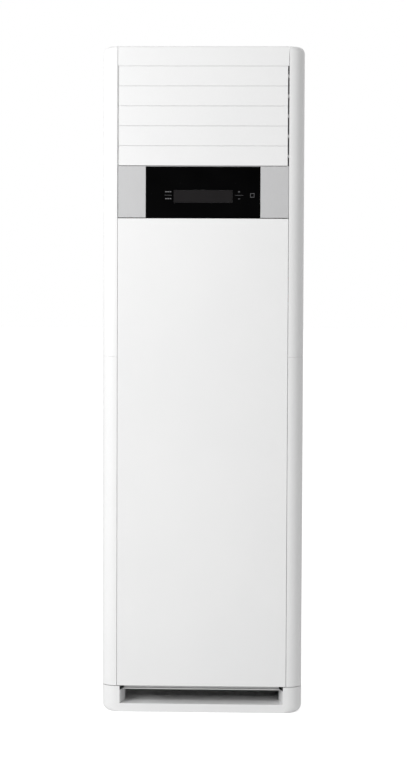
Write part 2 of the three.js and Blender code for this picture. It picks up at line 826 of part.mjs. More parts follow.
// The moulded tray behind the strip: a face plate with a rim, open over the display.
function controlPanelFrame() {
  const top = shelfUnderLouvers - wall - seat;
  const bottom = stripLow + seat;
  const tray = cut(
    block(-centreEdge, centreEdge, carrierFront, carrierBack, bottom, top),
    block(wall - centreEdge, centreEdge - wall, carrierFront + wall, carrierBack + 1,
      bottom + wall, top - wall),
  );
  const gap = digitsInset - seat;
  return cut(tray, block(-windowHalfWidth + gap, windowHalfWidth - gap, front, carrierBack,
    windowLow + gap, windowHigh - gap));
}

function displayBoard() {
  const boardFront = carrierFront + wall + seat;
  const half = windowHalfWidth + boardSideMargin;
  const board = block(-half, half, boardFront, boardFront + boardThickness,
    windowLow - boardTopMargin, windowHigh + boardTopMargin);
  const digitsHalf = windowHalfWidth - digitsInset;
  const digits = block(-digitsHalf, digitsHalf, carrierFront, boardFront + 1,
    windowLow + digitsInset, windowHigh - digitsInset);
  return join(board, digits);
}

const trimRight = mesh('display_trim_right', displayTrim(), silverTrim);
part.add(
  trimRight,
  mirrored(trimRight, 'display_trim_left'),
  mesh('control_glass', controlGlass(), blackGlass),
  mesh('display_window', displayWindow(), smokedLens),
  mesh('control_panel_frame', controlPanelFrame(), darkPlastic),
  mesh('display_board', displayBoard(), circuitBoard),
);

// ---- blower ----

// The scroll fills the room between the uprights: its radius where it passes level on the tongue
// side, plus its widest radius on the other side.
const growthTo = (degrees) => Math.exp(scrollGrowth * THREE.MathUtils.degToRad(degrees));
const scrollRoom = 2 * (uprightInner - blowerSideGap - scrollWall);
const scrollRadius = scrollRoom / (growthTo(tongueAngle) + growthTo(scrollTurn));
const scrollWidest = scrollRadius * growthTo(scrollTurn);
const blowerX = scrollWidest - scrollRoom / 2;
const wheelRadius = scrollRadius - tongueGap;
// inner faces of the two straight walls that lead up to the outlet
const scrollWalls = {
  tongueX: blowerX + scrollRadius * Math.cos(THREE.MathUtils.degToRad(tongueAngle)),
  outerX: blowerX - scrollWidest,
};
const wheelFront = scrollFront + wheelSideGap;
const wheelBack = scrollBack - wheelSideGap;
const wheelDiskFront = wheelBack - wheelRimThickness;

// The inside line of the scroll: a spiral that grows from the tongue, clockwise, and then two
// straight walls up to the outlet. The grow value moves the whole line outward.
function scrollOutline(grow, top) {
  const start = THREE.MathUtils.degToRad(tongueAngle);
  const turn = THREE.MathUtils.degToRad(scrollTurn);
  const tongueWall = scrollWalls.tongueX + grow;
  const points = [[tongueWall, blowerZ + scrollRadius * Math.sin(start)]];
  for (let i = 1; i <= scrollSteps; i += 1) {
    const swept = (turn * i) / scrollSteps;
    const radius = scrollRadius * Math.exp(scrollGrowth * swept) + grow;
    const angle = start - swept;
    points.push([blowerX + radius * Math.cos(angle), blowerZ + radius * Math.sin(angle)]);
  }
  points.push([scrollWalls.outerX - grow, top]);
  points.push([tongueWall, top]);
  return polygon(points);
}

const scrollTop = shelfBottom - seat;

function blowerScroll() {
  const outer = extrude(scrollOutline(scrollWall, scrollTop), 'y', scrollFront, scrollBack);
  const hollow = scrollOutline(0, scrollTop + 1);
  const inner = extrude(hollow, 'y', scrollFront + scrollWall, scrollBack - scrollWall);
  const inletHole = inletRadius + inletBell + seat;
  const inlet = pin('y', blowerX, blowerZ, inletHole, scrollFront - 1, scrollFront + wheelSideGap, 16);
  const motorHole = pin('y', blowerX, blowerZ, motorHoleRadius, wheelBack, scrollBack + 1, 12);
  return cut(outer, inner, inlet, motorHole);
}

// Turned about the blower's axis from a closed profile of radius and y.
function turned(points, segments) {
  const profile = points.map(([radius, y]) => new THREE.Vector2(radius, y));
  if (THREE.ShapeUtils.area(profile) < 0) profile.reverse();
  profile.push(profile[0].clone());
  const geometry = new THREE.LatheGeometry(profile, segments);
  geometry.translate(blowerX, 0, blowerZ);
  return solidOf(geometry);
}

function tube(innerRadius, outerRadius, y0, y1, segments) {
  return turned([[innerRadius, y0], [outerRadius, y0], [outerRadius, y1], [innerRadius, y1]], segments);
}

// A sheet metal mouth: a flat flange that rolls inward into a short throat.
function inletRing() {
  const flangeBack = scrollFront - seat;
  const flangeFront = flangeBack - inletSheet;
  const throatEnd = flangeFront + inletBell + inletThroat;
  const roll = (radius, steps) => {
    const points = [];
    for (let i = 0; i <= steps; i += 1) {
      const angle = (Math.PI / 2) * (i / steps);
      points.push([
        inletRadius + inletBell - radius * Math.sin(angle),
        flangeFront + inletBell - radius * Math.cos(angle),
      ]);
    }
    return points;
  };
  const mouth = roll(inletBell, 4);
  const behind = roll(inletBell - inletSheet, 2).reverse();
  return turned([
    [inletFlange, flangeBack],
    [inletFlange, flangeFront],
    ...mouth,
    [inletRadius, throatEnd],
    [inletRadius + inletSheet, throatEnd],
    ...behind,
  ], 32);
}

function wheelBlade(angle) {
  const inner = wheelRadius - wheelBladeDepth;
  const half = wheelBladeThickness / 2;
  const mid = (inner + wheelRadius) / 2;
  const at = (radius, turn, shift) => [
    blowerX + radius * Math.cos(angle + turn) - shift * Math.sin(angle + turn),
    blowerZ + radius * Math.sin(angle + turn) + shift * Math.cos(angle + turn),
  ];
  const rim = wheelRadius - 0.5;
  const profile = polygon([
    at(inner, 0, -half),
    at(mid, wheelBladeLean / 3, -half),
    at(rim, wheelBladeLean, -half),
    at(rim, wheelBladeLean, half),
    at(mid, wheelBladeLean / 3, half),
    at(inner, 0, half),
  ]);
  return extrude(profile, 'y', wheelFront + 1, wheelDiskFront - seat);
}

// The blades stand on the disk behind them, and a rim holds their front ends together.
function wheelBlades() {
  const rimInner = wheelRadius - wheelBladeDepth;
  let blades = tube(rimInner, wheelRadius, wheelFront, wheelFront + wheelRimThickness, 48);
  for (let i = 0; i < wheelBladeCount; i += 1) {
    blades = blades.add(wheelBlade((2 * Math.PI * i) / wheelBladeCount));
  }
  return blades;
}

function wheelDisk() {
  const bore = shaftRadius + shaftClearance;
  const disk = tube(bore, wheelRadius, wheelDiskFront, wheelBack, 48);
  const hub = tube(bore, hubRadius, wheelBack - hubLength, wheelBack - 1, 16);
  return join(disk, hub);
}

const motorFront = plateBack + seat;
const motorBack = motorFront + motorBodyLength;
const shaftBack = motorFront + motorBodyLength / 2;
const hubFront = wheelBack - hubLength;

function motorShaft() {
  return pin('y', blowerX, blowerZ, shaftRadius, hubFront - nutThickness - 4, shaftBack, 8);
}

function shaftNut() {
  const hexagon = new THREE.Shape();
  for (let i = 0; i < 6; i += 1) {
    const angle = (i * Math.PI) / 3;
    const u = blowerX + nutRadius * Math.cos(angle);
    const v = blowerZ + nutRadius * Math.sin(angle);
    if (i === 0) hexagon.moveTo(u, v);
    else hexagon.lineTo(u, v);
  }
  const nutBack = hubFront - seat;
  const boreRadius = shaftRadius + shaftClearance;
  const bore = pin('y', blowerX, blowerZ, boreRadius, nutBack - nutThickness - 1, nutBack + 1, 8);
  return cut(extrude(hexagon, 'y', nutBack - nutThickness, nutBack), bore);
}

// The motor has a bolted flange on the mounting plate, a ribbed body and a bore for its shaft.
function fanMotor() {
  const bore = shaftRadius + shaftClearance + seat;
  const flangeRadius = motorBodyRadius + motorFlangeWidth;
  return turned([
    [bore, motorFront],
    [flangeRadius, motorFront],
    [flangeRadius, motorFront + motorFlangeThickness],
    [motorBodyRadius, motorFront + motorFlangeThickness],
    [motorBodyRadius, motorBack - motorBevel],
    [motorBodyRadius - motorBevel, motorBack],
    [bore, motorBack],
  ], 28);
}

part.add(
  mesh('blower_scroll', blowerScroll(), galvanised),
  mesh('inlet_ring', inletRing(), darkPlastic),
  mesh('blower_wheel', wheelBlades(), wheelPlastic),
  mesh('blower_wheel_disk', wheelDisk(), wheelPlastic),
  mesh('motor_shaft', motorShaft(), galvanised),
  mesh('shaft_nut', shaftNut(), galvanised),
  mesh('fan_motor', fanMotor(), motorMetal),
);

// ---- inner frame ----

const plateBottom = blowerZ - mountingPlateDrop;

// A folded channel with its open side towards the casing.
function innerUpright() {
  const y0 = plateBack + seat;
  const y1 = y0 + uprightDepth;
  const x0 = uprightInner;
  const section = polygon([
    [x0, y0],
    [uprightX, y0],
    [uprightX, y0 + sheet],
    [x0 + sheet, y0 + sheet],
    [x0 + sheet, y1 - sheet],
    [uprightX, y1 - sheet],
    [uprightX, y1],
    [x0, y1],
  ]);
  return extrude(section, 'z', wall + seat, height - wall - columnReturn - seat);
}

function blowerMountingPlate() {
  const plate = block(-uprightX, uprightX, plateFront, plateBack, plateBottom, shelfBottom - seat);
  return cut(plate, pin('y', blowerX, blowerZ, motorHoleRadius, plateFront - 1, plateBack + 1, 12));
}

const shelfFront = front + shelfFrontInset;

function partitionShelf() {
  const room = block(-width / 2, width / 2, shelfFront, rearSeam - rearTrayDepth, shelfBottom, shelfTop);
  const shelf = casingForm(wall + seat).intersect(room);
  const { tongueX, outerX } = scrollWalls;
  const notchGap = 1;
  const uprightFront = plateBack + seat - notchGap;
  const uprightBack = plateBack + seat + uprightDepth + notchGap;
  const uprightNotches = [-1, 1].map((side) => {
    const x0 = side * (uprightX - uprightWidth / 2) - uprightWidth / 2 - notchGap;
    const x1 = x0 + uprightWidth + 2 * notchGap;
    return block(x0, x1, uprightFront, uprightBack, shelfBottom - 1, shelfTop + 1);
  });
  return cut(
    shelf,
    block(outerX, tongueX, scrollFront + scrollWall, scrollBack - scrollWall, shelfBottom - 1, shelfTop + 1),
    pin('z', pipeX, gasPipeY, gasPipeRadius + 1, shelfBottom - 1, shelfTop + 1),
    pin('z', pipeX, liquidPipeY, liquidPipeRadius + 1, shelfBottom - 1, shelfTop + 1),
    pin('z', drainX, drainPipeY, drainRadius + 1, shelfBottom - 1, shelfTop + 1),
    ...uprightNotches,
  );
}

// ---- coil, pan and pipes ----

const coilRun = { y: coilHeadY - coilFootY, z: coilRise };
const coilLength = Math.hypot(coilRun.y, coilRun.z);
const coilSlope = Math.atan2(coilRun.z, coilRun.y);
const endPlateHalf = coilThickness / 2 + endPlateOverhang;
// the end plates' lower corners stand on the floor of the pan
const coilFootZ = shelfTop + 2 * seat + wall + endPlateHalf * Math.cos(coilSlope);

// Places a solid drawn lying flat (x, along the coil, through the coil) on the coil's slope.
function onSlope(solid) {
  const matrix = new THREE.Matrix4().makeRotationX(coilSlope);
  matrix.setPosition(0, coilFootY, coilFootZ);
  return solid.transform(matrix.elements);
}

// A comb: fins on both sides of the solid core in which the tubes run.
function evaporatorCoil() {
  const half = coilThickness / 2;
  const root = finRoot / 2;
  const count = Math.floor((2 * coilHalfWidth) / finPitch);
  const start = -((count - 1) * finPitch + finThickness) / 2;
  const upperEdge = [[-coilHalfWidth, root]];
  for (let i = 0; i < count; i += 1) {
    const x = start + i * finPitch;
    upperEdge.push([x, root], [x, half], [x + finThickness, half], [x + finThickness, root]);
  }
  upperEdge.push([coilHalfWidth, root]);
  const lowerEdge = upperEdge.map(([x, z]) => [x, -z]).reverse();
  const comb = [...upperEdge, ...lowerEdge];
  const profile = polygon(comb);
  return onSlope(extrude(profile, 'y', 0, coilLength));
}

// A copper return bend: the outer half of a ring whose two ends meet the end plate.
function returnBend(x, along) {
  const ring = solidOf(new THREE.TorusGeometry(returnBendRadius, copperRadius, 6, 12));
  const place = new THREE.Matrix4().makeRotationX(Math.PI / 2);
  place.setPosition(x, along, 0);
  const reach = returnBendRadius + copperRadius + 1;
  const outerHalf = block(x - sheet / 2, x + reach, along - reach, along + reach, -reach, reach);
  return ring.transform(place.elements).intersect(outerHalf);
}

// Drawn on the right; a tab at its upper end reaches the inner upright.
function endPlate(bendCount) {
  const inner = coilHalfWidth + seat;
  const outer = inner + sheet;
  let plate = block(inner, outer, 0, coilLength, -endPlateHalf, endPlateHalf);
  for (let i = 0; i < bendCount; i += 1) {
    plate = plate.add(returnBend(outer, ((i + 0.5) * coilLength) / bendCount));
  }
  const tabY = plateBack + seat + uprightDepth / 2;
  const tabZ = coilFootZ + (tabY - coilFootY) * Math.tan(coilSlope);
  const tabEnd = uprightInner - seat;
  const tab = block(inner + sheet / 2, tabEnd, tabY - endTabHalf, tabY + endTabHalf, tabZ - sheet, tabZ);
  return join(onSlope(plate), tab);
}

const panFront = coilFootY - panLead;
const panHalf = uprightInner - 2 * seat;

function drainPan() {
  const panBack = panFront + panWidth;
  const bottom = shelfTop + seat;
  return cut(
    block(-panHalf, panHalf, panFront, panBack, bottom, bottom + panHeight),
    block(-panHalf + wall, panHalf - wall, panFront + wall, panBack - wall, bottom + wall, height),
    pin('x', drainPipeY, bottom + wall + drainRadius, drainRadius / 2, -width / 2, 0),
  );
}

// A route through chosen stops that takes one step from each stop to the next, so long straight
// runs cost no more faces than short ones.
class PipeRoute extends THREE.Curve {
  constructor(stops) {
    super();
    this.stops = stops;
  }

  getPoint(t, target = new THREE.Vector3()) {
    const place = t * (this.stops.length - 1);
    const i = Math.min(Math.floor(place), this.stops.length - 2);
    return target.lerpVectors(this.stops[i], this.stops[i + 1], place - i);
  }

  getPointAt(u, target) {
    return this.getPoint(u, target);
  }

  getTangentAt(u, target) {
    return this.getTangent(u, target);
  }
}

// A round tube through corner points, with a bend at each inner corner.
function pipe(corners, radius, bendRadius) {
  const bendSteps = 4;
  const points = corners.map(([x, y, z]) => new THREE.Vector3(x, y, z));
  const stops = [points[0]];
  for (let i = 1; i < points.length - 1; i += 1) {
    const into = points[i].clone().sub(points[i - 1]).setLength(bendRadius);
    const out = points[i + 1].clone().sub(points[i]).setLength(bendRadius);
    const start = points[i].clone().sub(into);
    const end = points[i].clone().add(out);
    stops.push(...new THREE.QuadraticBezierCurve3(start, points[i], end).getPoints(bendSteps));
  }
  stops.push(points[points.length - 1]);
  const section = disc(0, 0, radius);
  const settings = { steps: stops.length - 1, extrudePath: new PipeRoute(stops), curveSegments: 4 };
  return solidOf(new THREE.ExtrudeGeometry(section, settings));
}

const plateOuter = coilHalfWidth + seat + sheet;

// From a point part way up the coil's end plate, sideways, then down to the installer's joint.
function refrigerantPipe(share, y, foot, radius) {
  const exitY = coilFootY + coilRun.y * share;
  const exitZ = coilFootZ + coilRun.z * share;
  const corners = [
    [plateOuter + seat, exitY, exitZ],
    [pipeX, exitY, exitZ],
    [pipeX, y, exitZ - pipeDrop],
    [pipeX, y, foot],
  ];
  return pipe(corners, radius, pipeBend);
}

function drainPipe() {
  const outletZ = shelfTop + seat + wall + drainRadius;
  const corners = [
    [-panHalf - seat, drainPipeY, outletZ],
    [drainX, drainPipeY, outletZ],
    [drainX, drainPipeY, baseHeight],
  ];
  return pipe(corners, drainRadius, drainBend);
}

// ---- electrical box ----

const boxTop = shelfBottom - seat;
const boxBottom = boxTop - boxHeight;
const boxFront = shelfFront;
const boxBack = boxFront + boxDepth;

function electricalBox() {
  return cut(
    block(-boxHalfWidth, boxHalfWidth, boxFront, boxBack, boxBottom, boxTop),
    block(-boxHalfWidth + sheet, boxHalfWidth - sheet, boxFront - 1, boxBack - sheet,
      boxBottom + sheet, boxTop - sheet),
  );
}

function electricalBoxCover() {
  const coverBack = boxFront - seat;
  return block(-boxHalfWidth, boxHalfWidth, coverBack - sheet, coverBack, boxBottom, boxTop);
}

// The board stands on posts and carries a transformer, two capacitors and a terminal block.
function powerBoard() {
  const boardBack = boxBack - sheet - seat - boardPost;
  const boardFront = boardBack - boardThickness;
  const half = boxHalfWidth - boardMargin;
  const low = boxBottom + boardMargin;
  const high = boxTop - boardMargin;
  const face = boardFront + boardThickness / 2;
  const posts = [];
  [-1, 1].forEach((side) => {
    [low + boardMargin / 2, high - boardMargin / 2].forEach((z) => {
      const x = side * (half - boardMargin / 2);
      posts.push(pin('y', x, z, boardPostRadius, boardBack - 1, boardBack + boardPost, 4));
    });
  });
  const partsLow = low + boardMargin;
  const left = boardMargin - half;
  const deep = boardFront - transformerDepth;
  const transformer = block(left, left + transformerWidth, deep, face,
    partsLow, partsLow + transformerHeight);
  const capacitors = [0, 1].map((i) => {
    const z = partsLow + capacitorRadius;
    return pin('y', i * capacitorSpacing, z, capacitorRadius, boardFront - capacitorLength, face, 6);
  });
  const terminalTop = high - boardMargin;
  const terminals = block(-terminalLength / 2, terminalLength / 2, boardFront - terminalDepth, face,
    terminalTop - terminalHeight, terminalTop);
  const board = block(-half, half, boardFront, boardBack, low, high);
  return join(board, transformer, ...capacitors, terminals, ...posts);
}

part.add(
  mesh('blower_mounting_plate', blowerMountingPlate(), galvanised),
  mesh('partition_shelf', partitionShelf(), galvanised),
  mesh('evaporator_coil', evaporatorCoil(), finMetal),
  mesh('coil_end_plate_right', endPlate(0), galvanised),
  mirrored(mesh('bends', endPlate(returnBendCount), copper), 'coil_end_plate_left'),
  mesh('drain_pan', drainPan(), innerPlastic),
  mesh('drain_pipe', drainPipe(), innerPlastic),
  mesh('gas_pipe', refrigerantPipe(0.3, gasPipeY, pipeFootHeight, gasPipeRadius), copper),
  mesh('liquid_pipe', refrigerantPipe(0.42, liquidPipeY, pipeFootHeight, liquidPipeRadius), copper),
  mesh('electrical_box', electricalBox(), galvanised),
  mesh('electrical_box_cover', electricalBoxCover(), galvanised),
  mesh('power_board', powerBoard(), circuitBoard),
);
const uprightRight = mesh('inner_upright_right', innerUpright(), galvanised);
part.add(uprightRight, mirrored(uprightRight, 'inner_upright_left'));

export default part;
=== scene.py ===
import json
import math

import bmesh
import bpy
from mathutils import Matrix, Vector


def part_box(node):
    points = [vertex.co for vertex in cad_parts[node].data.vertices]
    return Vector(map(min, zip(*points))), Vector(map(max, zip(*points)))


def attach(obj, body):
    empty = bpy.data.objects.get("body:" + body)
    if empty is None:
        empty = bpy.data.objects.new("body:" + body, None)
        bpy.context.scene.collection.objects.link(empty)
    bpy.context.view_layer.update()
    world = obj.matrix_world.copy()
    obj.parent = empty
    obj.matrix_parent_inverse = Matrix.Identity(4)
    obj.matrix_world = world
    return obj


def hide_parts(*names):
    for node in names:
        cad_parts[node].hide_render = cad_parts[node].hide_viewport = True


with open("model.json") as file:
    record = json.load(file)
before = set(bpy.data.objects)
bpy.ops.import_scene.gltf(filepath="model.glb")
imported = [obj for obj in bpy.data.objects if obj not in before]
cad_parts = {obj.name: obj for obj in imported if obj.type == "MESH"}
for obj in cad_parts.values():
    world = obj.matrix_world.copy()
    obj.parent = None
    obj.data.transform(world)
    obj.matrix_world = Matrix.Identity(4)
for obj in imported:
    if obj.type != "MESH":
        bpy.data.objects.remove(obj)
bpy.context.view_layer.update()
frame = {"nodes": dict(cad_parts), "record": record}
print("frame loaded:", len(frame["nodes"]), "nodes")

mm = 0.001


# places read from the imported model

def low(node):
    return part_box(node)[0]


def high(node):
    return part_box(node)[1]


casingLow = Vector((low("base_plinth").x, low("base_plinth").y, 0.0))
casingHigh = Vector((high("base_plinth").x, high("base_plinth").y, high("rear_panel_upper").z))
frontY = casingLow.y
backY = casingHigh.y
halfWidth = casingHigh.x
topZ = casingHigh.z
columnX = low("upper_side_panel_right").x  # inner edge of a side column
centreX = high("lower_front_panel").x  # outer edge of the pieces between the columns
baseTopZ = high("base_plinth").z
hair = 0.3 * mm  # clearance between pieces that touch


# mesh tools

def boxMesh(bm, x0, x1, y0, y1, z0, z1):
    size = Matrix.Diagonal((x1 - x0, y1 - y0, z1 - z0, 1))
    place = Matrix.Translation(((x0 + x1) / 2, (y0 + y1) / 2, (z0 + z1) / 2))
    return bmesh.ops.create_cube(bm, size=1, matrix=place @ size)["verts"]


def alongAxis(axis):
    # turns a shape made along Z so that it runs along the named axis
    turns = {"x": Matrix.Rotation(math.pi / 2, 4, "Y"), "y": Matrix.Rotation(-math.pi / 2, 4, "X"),
             "z": Matrix.Identity(4)}
    return turns[axis]


def rodMesh(bm, axis, centre, radius, length, segments=24, radiusEnd=None):
    place = Matrix.Translation(centre) @ alongAxis(axis)
    end = radius if radiusEnd is None else radiusEnd
    made = bmesh.ops.create_cone(bm, cap_ends=True, segments=segments, radius1=radius, radius2=end,
                                 depth=length, matrix=place)
    return made["verts"]


def drawOutline(bm, points, place=None):
    # a flat face through the points, ready to be extruded
    verts = [bm.verts.new(place(u, v) if place else (u, v, 0)) for u, v in points]
    return bm.faces.new(verts)


def extrudeBy(bm, faces, offset):
    grown = bmesh.ops.extrude_face_region(bm, geom=list(faces))["geom"]
    moved = [g for g in grown if isinstance(g, bmesh.types.BMVert)]
    bmesh.ops.translate(bm, verts=moved, vec=offset)
    return moved


def arc(u, v, radius, start, end, steps):
    turn = [math.radians(start + (end - start) * i / steps) for i in range(steps + 1)]
    return [(u + radius * math.cos(a), v + radius * math.sin(a)) for a in turn]


def roundedOutline(u0, u1, v0, v1, radius, steps=6):
    r = min(radius, (u1 - u0) / 2, (v1 - v0) / 2)
    return (arc(u1 - r, v0 + r, r, -90, 0, steps) + arc(u1 - r, v1 - r, r, 0, 90, steps)
            + arc(u0 + r, v1 - r, r, 90, 180, steps) + arc(u0 + r, v0 + r, r, 180, 270, steps))


def tidy(bm, merge=1e-6):
    bmesh.ops.remove_doubles(bm, verts=bm.verts, dist=merge)
    bmesh.ops.recalc_face_normals(bm, faces=bm.faces)
    return bm


def toObject(name, bm, smooth=True):
    mesh = bpy.data.meshes.new(name)
    for face in bm.faces:
        face.smooth = smooth
    bm.to_mesh(mesh)
    bm.free()
    made = bpy.data.objects.new(name, mesh)
    bpy.context.scene.collection.objects.link(made)
    return made


def settle(piece):
    # the modifiers' result becomes the piece's own mesh
    graph = bpy.context.evaluated_depsgraph_get()
    mesh = bpy.data.meshes.new_from_object(piece.evaluated_get(graph), depsgraph=graph)
    piece.modifiers.clear()
    old = piece.data
    piece.data = mesh
    bpy.data.meshes.remove(old)
    return piece


def thicken(piece, wall):
    solid = piece.modifiers.new("wall", "SOLIDIFY")
    solid.thickness = wall
    solid.offset = -1
    solid.use_even_offset = True
    return settle(piece)


def cutOut(piece, *cutters):
    for cutter in cutters:
        cut = piece.modifiers.new("cut", "BOOLEAN")
        cut.object = cutter
        cut.operation = "DIFFERENCE"
        cut.solver = "EXACT"
    settle(piece)
    for cutter in cutters:
        bpy.data.objects.remove(cutter)
    return piece


def joinTo(piece, other):
    join = piece.modifiers.new("join", "BOOLEAN")
    join.object = other
    join.operation = "UNION"
    join.solver = "EXACT"
    join.use_self = True
    settle(piece)
    bpy.data.objects.remove(other)
    return piece


def soften(piece, width, segments=2, angle=28):
    # small radius on every edge, and flat faces that stay flat in the light
    bevel = piece.modifiers.new("edge", "BEVEL")
    bevel.width = width
    bevel.segments = segments
    bevel.limit_method = "ANGLE"
    bevel.angle_limit = math.radians(angle)
    bevel.use_clamp_overlap = True
    weigh = piece.modifiers.new("light", "WEIGHTED_NORMAL")
    weigh.keep_sharp = True
    return piece


def dress(piece, material, slotName, body, *nodes):
    piece.data.materials.clear()
    for one in material if isinstance(material, (list, tuple)) else [material]:
        piece.data.materials.append(one)
    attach(piece, body)
    if nodes:
        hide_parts(*nodes)
    return piece


def paintNode(material, *nodes):
    for name in nodes:
        mesh = frame["nodes"][name].data
        mesh.materials.clear()
        mesh.materials.append(material)


# materials

class Signal:
    # one socket, so that shader maths can be written as sums

    def __init__(self, graph, socket):
        self.graph = graph
        self.socket = socket

    def __add__(self, other):
        return self.graph.maths("ADD", self, other)

    def __radd__(self, other):
        return self.graph.maths("ADD", other, self)

    def __sub__(self, other):
        return self.graph.maths("SUBTRACT", self, other)

    def __rsub__(self, other):
        return self.graph.maths("SUBTRACT", other, self)

    def __mul__(self, other):
        return self.graph.maths("MULTIPLY", self, other)

    def __rmul__(self, other):
        return self.graph.maths("MULTIPLY", other, self)

    def __truediv__(self, other):
        return self.graph.maths("DIVIDE", self, other)

    def __gt__(self, other):
        return self.graph.maths("GREATER_THAN", self, other)

    def __lt__(self, other):
        return self.graph.maths("LESS_THAN", self, other)

    def __abs__(self):
        return self.graph.maths("ABSOLUTE", self)


class Finish:
    # a material and the few node calls that every finish here is written with

    def __init__(self, name):
        self.material = bpy.data.materials.new(name)
        self.material.use_nodes = True
        self.tree = self.material.node_tree
        self.tree.nodes.clear()
        self.place = self.add("ShaderNodeTexCoord").outputs["Object"]

    def add(self, kind, settings=None, inputs=None):
        node = self.tree.nodes.new(kind)
        for name, value in (settings or {}).items():
            if name == "stops":
                self.setStops(node.color_ramp, value)
            else:
                setattr(node, name, value)
        for name, value in (inputs or {}).items():
            self.feed(node.inputs[name], value)
        return node

    def feed(self, socket, value):
        if isinstance(value, Signal):
            value = value.socket
        if isinstance(value, bpy.types.NodeSocket):
            self.tree.links.new(value, socket)
        elif socket.type == "RGBA" and len(value) == 3:
            socket.default_value = (*value, 1)
        else:
            socket.default_value = value

    def setStops(self, ramp, stops):
        while len(ramp.elements) < len(stops):
            ramp.elements.new(0.5)
        for element, (position, color) in zip(ramp.elements, stops):
            element.position = position
            element.color = (*color, 1)

    def maths(self, operation, first, second=0.0):
        node = self.add("ShaderNodeMath", {"operation": operation}, {0: first, 1: second})
        return Signal(self, node.outputs[0])

    def axis(self, name):
        split = self.add("ShaderNodeSeparateXYZ", None, {"Vector": self.place})
        return Signal(self, split.outputs[name])

    def stretched(self, x, y, z):
        inputs = {"Vector": self.place, "Scale": (x, y, z)}
        node = self.add("ShaderNodeMapping", {"vector_type": "POINT"}, inputs)
        return node.outputs[0]

    def noise(self, scale, detail=2.0, vector=None, roughness=0.5):
        made = self.add("ShaderNodeTexNoise", None, {
            "Vector": vector or self.place, "Scale": scale, "Detail": detail, "Roughness": roughness})
        return Signal(self, made.outputs["Fac"])

    def cells(self, scale, vector=None, feature="F1", output="Distance", randomness=1.0):
        made = self.add("ShaderNodeTexVoronoi", {"feature": feature}, {
            "Vector": vector or self.place, "Scale": scale, "Randomness": randomness})
        return Signal(self, made.outputs[output])

    def spread(self, signal, fromLow, fromHigh, toLow=0.0, toHigh=1.0):
        made = self.add("ShaderNodeMapRange", {"clamp": True}, {
            "Value": signal, "From Min": fromLow, "From Max": fromHigh, "To Min": toLow, "To Max": toHigh})
        return Signal(self, made.outputs[0])

    def mix(self, share, first, second):
        made = self.add("ShaderNodeMix", {"data_type": "RGBA"}, {0: share})
        self.feed(made.inputs[6], first)
        self.feed(made.inputs[7], second)
        return made.outputs[2]

    def bump(self, height, strength, distance, under=None):
        inputs = {"Height": height, "Strength": strength, "Distance": distance}
        if under is not None:
            inputs["Normal"] = under
        return self.add("ShaderNodeBump", None, inputs).outputs[0]

    def surface(self, **sockets):
        # sockets are named as on the shader, with spaces left out
        shader = self.add("ShaderNodeBsdfPrincipled")
        byName = {socket.name.replace(" ", ""): socket for socket in shader.inputs}
        for name, value in sockets.items():
            self.feed(byName[name], value)
        end = self.add("ShaderNodeOutputMaterial", None, {"Surface": shader.outputs[0]})
        self.tree.nodes.active = end
        return self.material


casingLook = {
    "color": (0.905, 0.905, 0.903),
    "shade": (0.875, 0.877, 0.877),  # faint tone drift of the moulding
    "roughness": 0.36,
    "grain": 5200.0,  # fine spark eroded texture
    "grainDepth": 0.012 * mm,
    "wave": 9.0,  # slow flow waves in the moulding, per metre
    "waveDepth": 0.05 * mm,
}


def casingWhite():
    look = casingLook
    made = Finish("casing_white")
    drift = made.spread(made.noise(2.2, 3.0), 0.35, 0.7)
    fine = made.noise(look["grain"], 2.0)
    rough = look["roughness"] + made.spread(made.noise(40.0, 4.0), 0.3, 0.7, -0.025, 0.035)
    wave = made.bump(made.noise(look["wave"], 1.0), 0.35, look["waveDepth"])
    grain = made.bump(fine, 0.35, look["grainDepth"], wave)
    return made.surface(BaseColor=made.mix(drift, look["color"], look["shade"]), Roughness=rough,
                        SpecularIORLevel=0.22, Normal=grain)


def gloss(name, color, roughness, ior, dust, drift):
    made = Finish(name)
    smear = made.spread(made.noise(26.0, 5.0), 0.35, 0.75, 0.0, dust)
    lighter = tuple(c + drift for c in color)
    return made.surface(BaseColor=made.mix(made.spread(made.noise(7.0, 3.0), 0.4, 0.7), color, lighter),
                        Roughness=roughness + smear, IOR=ior)


silverLook = {"color": (0.60, 0.60, 0.605), "dark": (0.53, 0.53, 0.535), "flake": 2600.0, "roughness": 0.42}


def silverLacquer():
    look = silverLook
    made = Finish("silver_lacquer")
    flakes = made.cells(look["flake"], output="Color")
    tone = made.spread(flakes, 0.1, 0.9)
    rough = look["roughness"] + made.spread(made.noise(60.0, 3.0), 0.3, 0.7, -0.03, 0.04)
    return made.surface(BaseColor=made.mix(tone, look["color"], look["dark"]), Roughness=rough, Metallic=0.35,
                        CoatWeight=0.3, CoatRoughness=0.12,
                        Normal=made.bump(flakes, 0.12, 0.01 * mm))


def matt(name, color, roughness, grain=1800.0, depth=0.03 * mm, vary=0.16):
    made = Finish(name)
    darker = tuple(c * (1 - vary) for c in color)
    tone = made.spread(made.noise(14.0, 4.0), 0.3, 0.72)
    rough = roughness + made.spread(made.noise(90.0, 3.0), 0.3, 0.7, -0.05, 0.05)
    return made.surface(BaseColor=made.mix(tone, color, darker), Roughness=rough,
                        Normal=made.bump(made.noise(grain, 2.0), 0.4, depth))


zincLook = {"light": (0.63, 0.65, 0.66), "dark": (0.53, 0.55, 0.56), "spangle": 115.0, "roughness": 0.38}


def zincSheet():
    look = zincLook
    made = Finish("zinc_sheet")
    spangle = made.cells(look["spangle"], output="Color", vector=made.stretched(1, 1, 0.6))
    tone = made.spread(spangle, 0.15, 0.85)
    streak = made.noise(60.0, 4.0, made.stretched(1, 1, 0.12))
    rough = look["roughness"] + tone * 0.12 + streak * 0.06
    return made.surface(BaseColor=made.mix(tone, look["light"], look["dark"]), Metallic=0.85, Roughness=rough,
                        Normal=made.bump(spangle, 0.08, 0.02 * mm))


